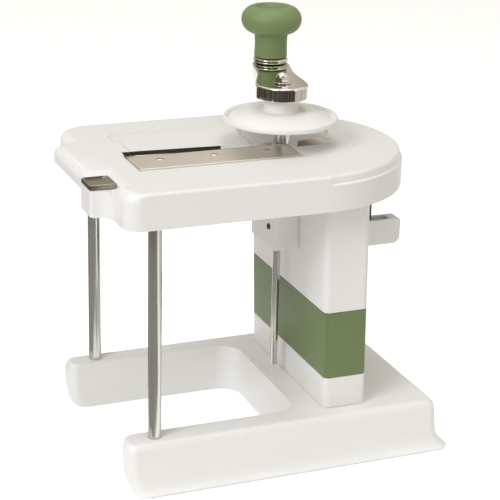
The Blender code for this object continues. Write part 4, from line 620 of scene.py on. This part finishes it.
# Table: a white shell, round at the right about the crank and straight at the left, where a grip lip
# stands out, with a slope round the finger cup. Ribs and sockets stiffen it below. Its top takes the blade,
# the plate and the spindle bush.
table_top = 243
over_table = table_top + 1
table_radius = 98
table_left = 159.5
table_skirt = 215
end_round = 8
edge_turn = 2.4
lip_left = 174
lip_half = 57
blade_places = [-17, -61.5, -106]
blade_screw_y = -13.5


def table_plan(z, edge_inset=0, arc_inset=0, wall=0, end_inset=0):
    """The table's outline at a height: a half circle at the right and a straight end at the left."""
    inset = edge_inset + wall
    side = table_radius - inset
    left = -table_left + max(inset, end_inset)
    arc = []
    for step in range(73):
        turn = -math.pi / 2 + math.pi * step / 72
        radius = side - (arc_inset if 0 < step < 72 else 0)
        arc.append((radius * math.cos(turn), radius * math.sin(turn), z))
    corners = [(0, side, 0), (left, side, 20 - wall), (left, -side, 12 - wall / 2), (0, -side, 0)]
    return arc + [(x, y, z) for x, y in rounded(corners, 12)[1:-1]]


def end_curve(depth):
    """How far the rounded top edge stands in at a depth below the table's top."""
    share = min(depth / end_round, 1)
    return end_round * (1 - math.sqrt(1 - (1 - share) ** 2))


def lip_plan(z, inset=0):
    """The grip lip's outline at a height."""
    left = inset - lip_left
    side = lip_half - inset
    corners = [(left, -side, 4), (-147.5, -side, 0), (-147.5, side, 0), (left, side, 12)]
    return [(x, y, z) for x, y in rounded(corners, 10)]


# Depths below the top, and how far the wall stands in there on the round part and all round.
table_levels = [(28, 0, 0), (8, 0, 0), (7.7, 0, 0), (7.3, 0.15, 0), (7, 0.4, 0),
                (6.7, 0.9, 0), (6.4, 1.6, 0), (6.1, 1.8, 0), (4.4, 2, 0)]
for step in range(0, 7):
    turn = math.pi / 2 * step / 6
    table_levels.append((edge_turn * (1 - math.sin(turn)), 2.3, edge_turn * (1 - math.cos(turn))))
rings = [table_plan(table_top - depth, rim, arc, end_inset=end_curve(depth))
         for depth, arc, rim in table_levels]
table = new_piece("table_shell", skin(rings))
lip_rings = []
for depth in (13.5, 13.2, 8, 6.4, 4.8, 3.4, 2.2, 1.3, 0.6, 0.2, 0.02):
    lip_rings.append(lip_plan(table_top - depth, end_curve(depth) + (0.3 if depth > 13.3 else 0)))
lip_corner = rounded([(0.1 - lip_left, 0.1 - lip_half, 4), (-158.5, 0.1 - lip_half, 0), (-158.5, -28, 0),
                      (0.1 - lip_left, -28, 3)], 8)
lip_block = prism(lip_corner, table_skirt, 231.5)
web = 13
web_rings = []
for depth in (28, 13, 8, 6.4, 4.8, 3.4, 2.2, 1.3, 0.6, 0.3):
    inset = end_curve(depth)
    corner_x = -table_left + inset - 0.1
    corner_y = -lip_half + inset + 0.2
    ring = [(corner_x - web, corner_y + 1), (corner_x + 1, corner_y + 1), (corner_x + 1, corner_y - web)]
    for step in range(13):
        turn = math.pi / 2 * step / 12
        ring.append((corner_x - web + web * math.cos(turn), corner_y - web + web * math.sin(turn)))
    web_rings.append([(x, y, table_top - depth) for x, y in reversed(ring)])
web_body = skin(web_rings)
bmesh.ops.recalc_face_normals(web_body, faces=web_body.faces)
join(table, skin(lip_rings), lip_block, web_body)
inner_rings = [table_plan(table_skirt - 1, wall=3), table_plan(deck_under - end_round / 2, wall=3),
               table_plan(deck_under, wall=3, end_inset=3 + end_round)]
cut(table, skin(inner_rings))
cut(table, block(-169, -159.8, -25, 52, 228.5, 237), block(-169, -159.8, -53, -30, 214, 237),
    block(-160.3, -156, -51, -40, 223.7, 233))
pin_y = 51.5
pin_z = 235.8
pin_bore = 2.15
into_deck = deck_under + 0.5
supports = []
for side in (-1, 1):
    supports.append(peg(post_x, side * post_y, 217, into_deck, post_boss))
    supports.append(peg(bolt_x, side * bolt_y, 227, into_deck, 6))
supports.append(peg(stay_x, stay_y, 228, into_deck, 5))
supports += [peg(x, blade_screw_y, 232, into_deck, 3.6) for x in blade_places]
supports += [block(-140, -1.6, y, y + 2, 228, into_deck) for y in (-64, 74)]
for turn in (math.radians(-52), 0, math.radians(40)):
    supports.append(swung(block(49.3 / math.cos(turn), 96.5, -1, 1, 228, into_deck), turn))
supports += [block(x, x + 4.3, pin_y - 4, pin_y + 4, pin_z - 4, into_deck) for x in (-130.5, -17.3)]
join(table, *supports)
cut(table, lying_peg(-130.5, -13.9, pin_y, pin_z, pin_bore),
    block(-131.5, 4.5, -42, 3.3, 240.7, over_table), peg(0, 0, 241.3, over_table, 7.3, 72))
# The feed pocket slopes up to the table's top. The finger cup's recess follows it.
pocket_x = 9
pocket_far = 38
pocket_low = 240.4
slope = [(pocket_x, pocket_low), (pocket_far, table_top), (pocket_far, over_table),
         (pocket_x, over_table)]
cut(table, skin([[(x, 34, z) for x, z in slope], [(x, -14, z) for x, z in slope]]))
tab_x = -175
stem_x = tab_x + 16
stem_y = -45.5
join(table, block(-171.7, tab_x + 24, -55, -31, 232.5, 239.5),
     block(-158.5, tab_x + 28, -80, -27, 232.5, 239.5))
dip = []
for z, far, front, rear in ((235.71, 21.3, -60.5, -50), (239.5, 21.3, -67.8, -50),
                            (239.4, 20.9, -67.7, -34.1), (243.6, 31.7, -76, -23.3)):
    dip.append([(tab_x - 3, front, z), (tab_x + far, front, z), (tab_x + far, rear, z),
                (tab_x - 3, rear, z)])
cut(table, block(tab_x - 2, tab_x + 21.3, -59, -33.7, 235.7, over_table),
    block(tab_x - 2, -159.3, -75, -58, 235.7, over_table), skin(dip[:2]), skin(dip[2:]),
    block(stem_x - 7.8, stem_x + 1.8, -47.3, -43.7, 232, 240))
# Two hangers carry the slider bar, and bores take the posts, bolts and screws.
hangers = []
for y in (-26, 4):
    hangers.append(block(-157.5, -131.5, y, y + 4, 225.2, 227.4))
    hangers.append(block(-133.7, -131.5, y, y + 4, 225.3, 239.5))
join(table, *hangers)
bores = []
for side in (-1, 1):
    bores.append(peg(post_x, side * post_y, table_skirt, deck_under, post_bore))
    bores.append(peg(bolt_x, side * bolt_y, 226.5, 238, bolt_bore))
bores.append(peg(stay_x, stay_y, 227.5, deck_under, 1.9))
bores += [peg(x, blade_screw_y, 231, over_table, 1.5, 24) for x in blade_places]
bores.append(peg(0, 0, 238.5, 241.59, 4.5))
cut(table, *bores)
plate_left = -122.4
plate_far = -21.6


def slot_back(x_left):
    """Where the tapering slot's back edge lies at a distance left of the crank's axis."""
    return 4.2 + 7.8 * (x_left - 8.5) / 121


def plate_plan(clearance):
    """The thickness plate's outline with its two hinge ears, smaller than its hole by a clearance."""
    left = plate_left + clearance
    far = plate_far - clearance
    back = 61.6 - clearance
    front = 43.2 + clearance
    ear_back = 59.9 - clearance
    ear = 3.8
    return [(left, slot_back(-plate_left)), (far, slot_back(-plate_far)), (far, front), (far + ear, front),
            (far + ear, ear_back), (far, ear_back), (far, back), (left, back), (left, ear_back),
            (left - ear, ear_back), (left - ear, front), (left, front)]


plate_hole = plate_plan(0)
opening = [(-129.5, 1.5), (-8.5, 1.5), (-8.5, 4.2)] + plate_hole[1:] + [plate_hole[0], (-129.5, 12)]
cut(table, prism(opening, 238.5, over_table))
dress(table, white_moulding, "frame", "white_plastic", "table", smooth=28)

# Feed ramp: a thin sheet laid in the table's sloping pocket right of the blade, where the pocket lifts the
# cabbage back to the table's level. The sheet carries painted shade: dark brown at its low left end, fading
# to pale steel.
ramp_painted_shade = steel("ramp_painted_shade", (0.40, 0.34, 0.24), (25, 1800, 1800), roughness=0.26, change=0.15,
                   depth=0.08, shade=0.35)
pocket_rise = (table_top - pocket_low) / (pocket_far - pocket_x)
ramp_rings = []
for lift in (0.05, 0.45):
    ramp_rings.append([(x, y, pocket_low + (x - pocket_x) * pocket_rise + lift)
                       for x, y in ((9.4, -13.4), (37.5, -13.8), (37.5, 5.2), (17.8, 5.2))])
ramp_sheet = new_piece("feed_ramp", skin(ramp_rings))
# Painted shade of the pocket: dark brown up to 20 mm right of the axis, fading to pale steel by 35 mm.
graded(ramp_painted_shade, "X", crank_x + 20 * mm, crank_x + 35 * mm, (0.13, 0.10, 0.06), (0.78, 0.76, 0.72))
dress(ramp_sheet, ramp_painted_shade, "frame", "blade_steel")

# Blade: a flat ground steel plate in the table's seat, with its cutting edge over the slot, held by
# three small screws let into it. Its face is ground along its length, and its bevel is painted near black as
# painted shade of the slot.
ground_steel_painted_bevel = steel("ground_steel_painted_bevel", (0.86, 0.805, 0.72), (14, 2600, 2600), roughness=0.28,
                     change=0.18, depth=0.15, shade=0.25)
# Painted shade: the bevel behind the cutting edge is near black.
graded(ground_steel_painted_bevel, "Y", -2.7 * mm, -2.2 * mm, (0.86, 0.805, 0.72), (0.10, 0.085, 0.06))
blade_low = 241
blade_high = 242.6
blade_side = [(-36, blade_low + 0.15), (-35.85, blade_low), (3, blade_low), (3, blade_low + 0.25),
              (-2.5, blade_high), (-35.8, blade_high), (-36, blade_high - 0.2)]
blade = new_piece("blade_plate", skin([[(x, y, z) for y, z in blade_side] for x in (-129, 3.2)]))
blade_cuts = [peg(x, blade_screw_y, 240, over_table, 3.2) for x in blade_places]
cut(blade, peg(0, 0, 240, over_table, 7.6, 72), *blade_cuts)
dress(blade, ground_steel_painted_bevel, "frame", "blade_steel", "blade", smooth=20)
blade_screw_top = blade_high + 0.3
blade_screw_outline = rounded([(0, blade_screw_top, 0), (2.1, blade_screw_top, 0.5),
                               (2.9, blade_high - 0.1, 0.2), (2.9, blade_low, 0), (1.3, blade_low, 0),
                               (1.3, 233, 0.4), (0, 233, 0)], 4)
screw_steel = steel("screw_steel", (0.84, 0.79, 0.70), (500, 500, 500), roughness=0.18, change=0.15)
for number, x in enumerate(blade_places):
    screw = cross_head("blade_fixing_%d" % (number + 1), blade_screw_outline, x, blade_screw_y,
                       blade_screw_top, 2.6)
    dress(screw, screw_steel, "frame", "zinc_steel", "blade_screw_%d" % (number + 1))

# Thickness plate: the white flap behind the slot, level with the table. It swings on a steel pin near
# its back edge, and how far its front edge drops sets how thick the shreds are. Near-black strips, painted
# shade of the slot, face its front edge and the slot's wall beside it.
plate = new_piece("thickness_flap", prism(plate_plan(0.5), 239.3, table_top))
left_end = -125.6
far_end = -18.4
plate_adds = [lying_peg(left_end, left_end + 17, pin_y, pin_z, 3.8),
              lying_peg(far_end - 17, far_end, pin_y, pin_z, 3.8),
              block(-130.9, -116.4, 14.5, 22, 235.7, 238.7), block(-121.8, -116.4, 14.6, 21.9, 238.2, 239.8),
              block(-130.9, -127.9, 14.6, 21.9, 232.5, 236.2)]
for number in range(4):
    x = plate_left + (plate_far - plate_left) * (number + 1) / 5
    plate_adds.append(block(x, x + 2, 20, 44, 236.5, 239.8))
join(plate, *plate_adds)
cut(plate, lying_peg(left_end - 1, far_end + 1, pin_y, pin_z, pin_bore))
dress(plate, white_moulding, "plate", "white_plastic", "thickness_plate")
# Painted shade: the strips along the slot's back edge are near black, as the slot lies in shade.
slot_painted_shade = steel("slot_painted_shade", (0.085, 0.068, 0.045), (40, 900, 900), roughness=0.4, change=0.2)


def edge_strip(name, start, end, low, high):
    """A thin strip along the slot's back edge, between two distances left of the crank's axis."""
    outline = [(-start, slot_back(start) - 0.4), (-end, slot_back(end) - 0.4), (-end, slot_back(end) + 0.04),
               (-start, slot_back(start) + 0.04)]
    return new_piece(name, prism(outline, low, high))


dress(edge_strip("flap_edge", 122.2, 48.5, 239.5, 242.75), slot_painted_shade, "plate", "blade_steel")
dress(edge_strip("slot_end_edge", 129.4, 122.5, 239.2, 242.6), slot_painted_shade, "frame", "blade_steel")
pin = new_piece("hinge_pin", lying_peg(-130.2, -14.2, pin_y, pin_z, 2))
dress(pin, drawn_steel, "frame", "rod_steel", "plate_hinge_pin")

# Thickness slider: a shallow pressed steel cup to hook a finger in, screwed through the table to a nylon
# bar below. The bar's far end is a ramp that holds up the flap's lug.
# Painted reflection: the cup's steel is a darker, browner copy of the polished steel, for the dark it
# mirrors.
pressed_steel_painted_reflection = steel("pressed_steel_painted_reflection", (0.37, 0.335, 0.27), (1500, 50, 1500), roughness=0.2,
                      change=0.12, depth=0.06, shade=0.25)
cup_far = tab_x + 21
cup_front = -56.5
cup_rear = -34
cup_rings = []
for z, inset in ((236, 0.8), (236.25, 0.25), (236.8, 0), (239.2, 0), (239.7, 0.15), (240, 0.6)):
    cup_rings.append(pad(tab_x + inset, cup_far - inset, cup_front + inset, cup_rear - inset, z, 1.6))
cup = new_piece("finger_cup", skin(cup_rings))
hollow_rings = []
for z, left_in, right_in, front_in, rear_in in ((238.5, 2.2, 4.6, 2.8, 1.9), (238.52, 1.6, 4, 2.2, 1.35),
                                                (240.2, 0.9, 1, 0.9, 0.9), (241, 0.9, 1, 0.9, 0.9)):
    hollow_rings.append(pad(tab_x + left_in, cup_far - right_in, cup_front + front_in, cup_rear - rear_in,
                            z, 1.4))
cut(cup, skin(hollow_rings), peg(stem_x, stem_y, 235, 237.6, 1.7, 24))
dress(cup, pressed_steel_painted_reflection, "slider", "polished_steel", "thickness_tab")
nylon = moulded("nylon", (0.72, 0.71, 0.66), 0.45, shade=0.3, pimple_depth=0.08)
bar_x = -146
lug_x = -130.9
ramp_end = lug_x + 10
bar_top = 232.2
bar_plan = [(stem_x - 3.2, -50), (bar_x + 12, -50), (bar_x + 12, 13), (ramp_end, 13), (ramp_end, 24),
            (bar_x, 24), (bar_x, -41), (stem_x - 3.2, -41)]
slider_bar = new_piece("slider_bar", prism(bar_plan, 227.7, bar_top))
lug_reach = 37
travel = 6
fall = 1.06 * lug_reach * math.sin(math.radians(3.8)) / travel
low = bar_top - fall * 7.3
ramp = [(lug_x - 0.5, bar_top), (lug_x + 6.8, low), (ramp_end + 1, low), (ramp_end + 1, bar_top + 1),
        (lug_x - 0.5, bar_top + 1)]
cut(slider_bar, skin([[(x, 25, z) for x, z in ramp], [(x, 12, z) for x, z in ramp]]),
    peg(stem_x, stem_y, 227, 233, 1.7, 24))
dress(slider_bar, nylon, "slider", "nylon", "slide_bar")
stem = cross_head("slider_fixing", screw_outline(225.4, 227.4, 2.8, 237.3, 1.45), stem_x, stem_y, 225.4,
                  2.8, down=False)
dress(stem, zinc_plate, "slider", "zinc_steel", "tab_screw")

# Spindle housing: a white box under the table against the column, open to it, with a nylon bush in its
# floor and another in the table. They guide the rod.
housing_left = -13
rod_bore = 3.15
dark_screw = steel("dark_screw", (0.16, 0.14, 0.12), (700, 700, 700), roughness=0.35, change=0.2)
housing_rings = []
for z, inset in ((160.3, 1.2), (160.7, 0.5), (161.5, 0), (below_deck, 0)):
    x0 = housing_left + inset
    housing_far = column_sides(z)[0] - gap
    y1 = 25 - inset
    corners = [(x0, -y1, 1.5), (housing_far, -y1, 0), (housing_far, y1, 0), (x0, y1, 1.5)]
    housing_rings.append([(x, y, z) for x, y in rounded(corners, 5)])
housing = new_piece("housing_moulding", skin(housing_rings))
cut(housing, block(housing_left + 2.2, 12.5, -22.8, 22.8, 164.3, 240), peg(0, 0, 160, 165, 4.5))
dress(housing, white_moulding, "frame", "white_plastic", "spindle_housing")


def lay(piece, place, turn):
    """Tip an upright piece about the Y axis and move its foot to a place in millimetres."""
    tip = Matrix.Translation(place) @ Matrix.Rotation(turn, 4, 'Y')
    piece.data.transform(set_down @ tip @ set_down.inverted())


fixing_outline = rounded([(0, 1.4, 0), (2.5, 1.2, 0.6), (2.6, 0, 0.1), (1.3, 0, 0), (1.3, -2, 0.3),
                          (0, -2, 0)], 4)
for label, side in ends:
    fixing = turned("housing_fixing_" + label, fixing_outline, steps=40)
    cut(fixing, block(-1.6, 1.6, -0.4, 0.4, 0.5, 2), block(-0.4, 0.4, -1.6, 1.6, 0.51, 2.01))
    lay(fixing, (housing_left, side * 13, 178), -math.pi / 2)
    dress(fixing, dark_screw, "frame", "zinc_steel")
for label, top, flange, tip in (("upper_bush", 243, 7, 231), ("lower_bush", 166, 5.8, 160.3)):
    outline = rounded([(rod_bore, top, 0.25), (flange, top, 0.35), (flange, top - 1.4, 0.1),
                       (4.2, top - 1.4, 0), (4.2, tip, 0.4), (rod_bore, tip, 0.25)], 3)
    bush = turned(label + "_ring", outline, steps=72)
    dress(bush, nylon, "frame", "nylon", label)

# Spindle: a steel rod that slides up and down in its bushes as the cabbage is used up, with a thicker
# sleeve above the table that stops it at its lowest place.
rod = turned("spindle_shaft", rod_outline(0, 3, 50, 297.4, 1.2, 0.6), steps=64)
dress(rod, drawn_steel, "spindle", "rod_steel", "spindle_rod")
sleeve = turned("sleeve_tube", rod_outline(rod_bore, 4.5, 243.3, 265.9, 0.6, 0.2), steps=64)
dress(sleeve, drawn_steel, "spindle", "rod_steel", "stop_sleeve")

# Spiked disc: a bright white moulded dish with a raised rim and a hub, and five tines below that bite
# into the cabbage.
bright_moulding = moulded("bright_moulding", (0.86, 0.855, 0.845), 0.26, shade=0.2)
rim_z = 264.4
hub_radius = 13.7
dish_radius = 42


def dish_z(radius):
    """The height of the dish's upper face."""
    share = (radius - hub_radius) / (dish_radius - hub_radius)
    return rim_z - 0.6 + 6.5 * (1 - share * share)


upper_face = [(radius, dish_z(radius), 0) for radius in [15.2] + list(range(18, dish_radius + 1, 3))]
lower_face = [(radius, z - 2.6, 0) for radius, z, turn in reversed(upper_face)]
disc_outline = [(rod_bore, 280.7, 0), (hub_radius, 280.7, 1), (hub_radius, dish_z(hub_radius) + 0.4, 1.6)]
disc_outline += upper_face
disc_outline += [(43.2, rim_z + 1, 0.8), (44.2, rim_z + 1.9, 0.6), (45.6, rim_z + 1.7, 0.6),
                 (46, rim_z + 0.4, 0.8), (46, rim_z - 1.8, 0.9), (44.6, rim_z - 2.8, 0.6)]
disc_outline += lower_face
disc_outline += [(9.7, dish_z(hub_radius) - 3, 0), (6.65, 263.2, 0.3), (4.65, 263.2, 0),
                 (4.65, 266.2, 0), (rod_bore, 266.2, 0)]
disc = turned("disc_moulding", rounded(disc_outline, 4), steps=144)
tine_x = 36.5
tine_root = dish_z(tine_x) - 1.6
tines = []
for number in range(5):
    rings = []
    for z, half, thick in ((252.5, 1.5, 0.15), (253.2, 1.9, 0.4), (tine_root - 2.5, 3.1, 1.8),
                           (tine_root, 3.25, 1.85)):
        rings.append(pad(tine_x - half, tine_x + half, -thick, thick, z, min(thick, 0.6) * 0.7, 3))
    tines.append(swung(skin(rings), math.radians(72 * number - 32.6)))
join(disc, *tines)
dress(disc, bright_moulding, "crank", "disc_plastic", "spiked_disc")

# Crank arm: a polished steel teardrop, wide at the spindle and narrow at the knob, with a soft top edge.
# A washer and a domed nut hold it on the spindle.
arm_low = 281
arm_high = 292
on_arm = arm_high + gap
crank_radius = 73.5
crank_angle = math.radians(74.7)
knob_x = crank_radius * math.cos(crank_angle)
knob_y = crank_radius * math.sin(crank_angle)


def arm_plan(inset):
    """The arm's outline along X: two arcs, joined by sides that are slightly hollow."""
    big, small = 21 - inset, 15 - inset
    lean = math.asin((big - small) / crank_radius)
    points = [Vector((big * math.cos(turn), big * math.sin(turn))) for turn in
              [math.pi / 2 - lean + (math.pi + 2 * lean) * step / 96 for step in range(97)]]
    tip = [Vector((crank_radius + small * math.cos(turn), small * math.sin(turn))) for turn in
           [-math.pi / 2 + lean + (math.pi - 2 * lean) * step / 64 for step in range(65)]]
    outline = []
    for run, start, end in ((points, points[-1], tip[0]), (tip, tip[-1], points[0])):
        outline += run
        for step in range(1, 16):
            share = step / 16
            spot = start.lerp(end, share)
            spot.y -= math.copysign(2.5 * math.sin(math.pi * share) ** 2, spot.y)
            outline.append(spot)
    return outline


bright_steel = steel("bright_steel", (0.70, 0.655, 0.585), (160, 160, 160), roughness=0.03,
                     change=0.05, depth=0.01, shade=0.12)
arm_place = Matrix.Rotation(crank_angle, 4, 'Z')
arm_rings = []
for z, inset in ((arm_low, 0.35), (281.1, 0.1), (281.35, 0), (281.8, 0), (290, 0), (290.4, 0),
                 (290.9, 0.1), (291.4, 0.4), (291.8, 0.9), (arm_high, 1.6)):
    arm_rings.append([tuple(arm_place @ Vector((spot.x, spot.y, z))) for spot in arm_plan(inset)])
arm_body = skin(arm_rings)
bmesh.ops.recalc_face_normals(arm_body, faces=arm_body.faces)
arm = new_piece("arm_plate", arm_body)
cut(arm, peg(0, 0, arm_low - 1, arm_high + 1, rod_bore),
    peg(knob_x, knob_y, arm_low - 1, arm_high + 1, rod_bore))
dress(arm, bright_steel, "crank", "polished_steel", "crank_arm")
washer_top = on_arm + 1.2
washer_outline = rounded([(rod_bore, washer_top, 0.1), (7, washer_top, 0.35), (7, on_arm, 0.2),
                          (rod_bore, on_arm, 0)], 3)
washer = turned("washer_ring", washer_outline, steps=72)
dress(washer, bright_steel, "crank", "polished_steel", "washer")
nut_body = bmesh.new()
bmesh.ops.create_cone(nut_body, cap_ends=True, segments=6, radius1=10 / math.sqrt(3),
                      radius2=10 / math.sqrt(3), depth=3.6,
                      matrix=Matrix.Translation((0, 0, 295.6)) @ Matrix.Rotation(-swing, 4, 'Z'))
nut = new_piece("domed_nut", nut_body)
carve(nut, 'INTERSECT', turned_body(rounded([
    (0, 298.4, 0), (4.6, 298.4, 0), (5.8, 296.6, 0), (5.8, 294.2, 0), (5.2, 293.7, 0), (0, 293.7, 0)])))
dome_outline = [(0, 300.9)]
for step in range(1, 13):
    turn = math.pi / 2 * step / 12
    dome_outline.append((4.6 * math.sin(turn), 296.7 + 4.2 * math.cos(turn)))
join(nut, turned_body(dome_outline + [(4.6, 296), (0, 296)]))
cut(nut, peg(0, 0, 290, 298.4, rod_bore))
dress(nut, bright_steel, "crank", "polished_steel", "cap_nut", smooth=25)

# Knob: a green mushroom grip that spins on a shouldered steel pin, over a polished collar. A small plug
# in the dimple of its head covers the pin.
collar = turned("collar_ring", rod_outline(6, 14.3, on_arm, 296.8, 2, 2, 10), knob_x, knob_y)
# Painted reflection: the collar's steel is tinted dark green, standing in for the green grip mirrored in it.
collar_steel_painted_green = steel("collar_steel_painted_green", (0.50, 0.53, 0.42), (160, 160, 160), roughness=0.05,
                     change=0.05, depth=0.01, shade=0.12)
dress(collar, collar_steel_painted_green, "crank", "polished_steel", "knob_collar")
grip_low = 297.1
neck_top = 317.1
head_turn = 11.25
grip_top = neck_top + 2 * head_turn
pin_head = grip_top - 8.6
pin_outline = rounded([(0, pin_head + 2.5, 0), (5, pin_head + 2.5, 0.8), (5, pin_head, 0), (3, pin_head, 0),
                       (3, grip_low, 0), (5.85, grip_low - 0.3, 0), (5.85, on_arm, 0), (3, on_arm, 0),
                       (3, arm_low, 0.4), (0, arm_low, 0)], 4)
pin = turned("shouldered_pin", pin_outline, knob_x, knob_y, 64)
dress(pin, drawn_steel, "crank", "rod_steel", "knob_pin")
grip_outline = [(9.3, grip_top - 3.3), (10.6, grip_top - 3.2), (11.4, grip_top - 2.9),
                (12, grip_top - 2.3), (12.5, grip_top - 1.4), (13, grip_top - 0.6)]
for step in range(0, 29):
    turn = math.radians(89 - 165 * step / 28)
    grip_outline.append((13.75 + head_turn * math.cos(turn), neck_top + head_turn * (1 + math.sin(turn))))
grip_outline += [(15, neck_top + 0.2), (14.2, neck_top - 0.6), (13.85, neck_top - 1.8),
                 (13.55, neck_top - 4), (13.4, neck_top - 9), (13.5, neck_top - 13),
                 (13.75, grip_low + 1.4), (13.6, grip_low + 0.6), (12.9, grip_low + 0.1), (12.4, grip_low),
                 (rod_bore, grip_low), (rod_bore, pin_head - gap), (8, pin_head - gap),
                 (8, grip_top - 5.7), (9.3, grip_top - 5.7)]
grip = turned("mushroom_grip", grip_outline, knob_x, knob_y, 120)
knob_moulding = moulded("knob_moulding", (0.178, 0.248, 0.095), 0.48, shade=0.3, pimple_depth=0.1)
dress(grip, knob_moulding, "knob", "green_plastic", "knob_grip")
plug_outline = rounded([(0, grip_top - 3.8, 0), (5.4, grip_top - 3.65, 2), (8.9, grip_top - 3.4, 0.4),
                        (8.9, grip_top - 5.4, 0.2), (0, grip_top - 5.4, 0)], 4)
plug = turned("grip_plug", plug_outline, knob_x, knob_y)
dress(plug, knob_moulding, "knob", "green_plastic", "knob_plug")

# Side bracket: an open-topped pocket screwed to the column's right face from inside, with a rounded
# lower corner. A steel stay stands in it and steadies the table's overhang; its near-black colour is painted
# shade.
bracket_low = 161.8
bracket_high = 183
bracket_left = column_sides(bracket_low)[1] + gap
bracket_far = 91.5
bracket_rings = []
for y, inset in ((-26, 0.6), (-26.2, 0.15), (-26.7, 0), (-39.3, 0), (-39.8, 0.15), (-40, 0.6)):
    low, high = bracket_low + inset, bracket_high - inset
    corners = [(bracket_left, low, 0.4), (bracket_far - inset, low, 6), (bracket_far - inset, high, 2),
               (bracket_left, high, 0.4)]
    bracket_rings.append([(x, y, z) for x, z in rounded(corners, 8)])
bracket = new_piece("bracket_moulding", skin(bracket_rings))
pocket_floor = 168
pocket_rings = []
for z, grow in ((pocket_floor, 0), (182.2, 0), (182.7, 0.2), (183.1, 0.7), (184, 1.6)):
    pocket_rings.append(pad(57.5 - grow, 82 + grow, -37.6 - grow, -28.4 + grow, z, 1.5))
cut(bracket, skin(pocket_rings), lying_peg(bracket_left - 1, 58, stay_y, bracket_screw_z, 2.2))
dress(bracket, white_moulding, "frame", "white_plastic", "side_bracket")
screw = turned("bracket_fixing", rounded([(0, 1.8, 0), (3.2, 1.8, 0.5), (3.2, 0, 0.2), (2, 0, 0),
                                          (2, -24, 0.6), (0, -24, 0)], 4), steps=48)
lay(screw, (57.8, stay_y, bracket_screw_z), math.pi / 2)
dress(screw, zinc_plate, "frame", "zinc_steel", "bracket_screw")
stay_outline = rod_outline(0, 1.75, pocket_floor + gap, below_deck, 0.4, 0.4, 3)
stay = turned("stay_steel", stay_outline, stay_x, stay_y, 48)
# Painted shade: the stay's steel is near black, as it stands in shade under the table.
stay_steel = steel("stay_steel", (0.10, 0.085, 0.06), (900, 900, 40), roughness=0.4, change=0.2)
dress(stay, stay_steel, "frame", "rod_steel", "stay_rod")
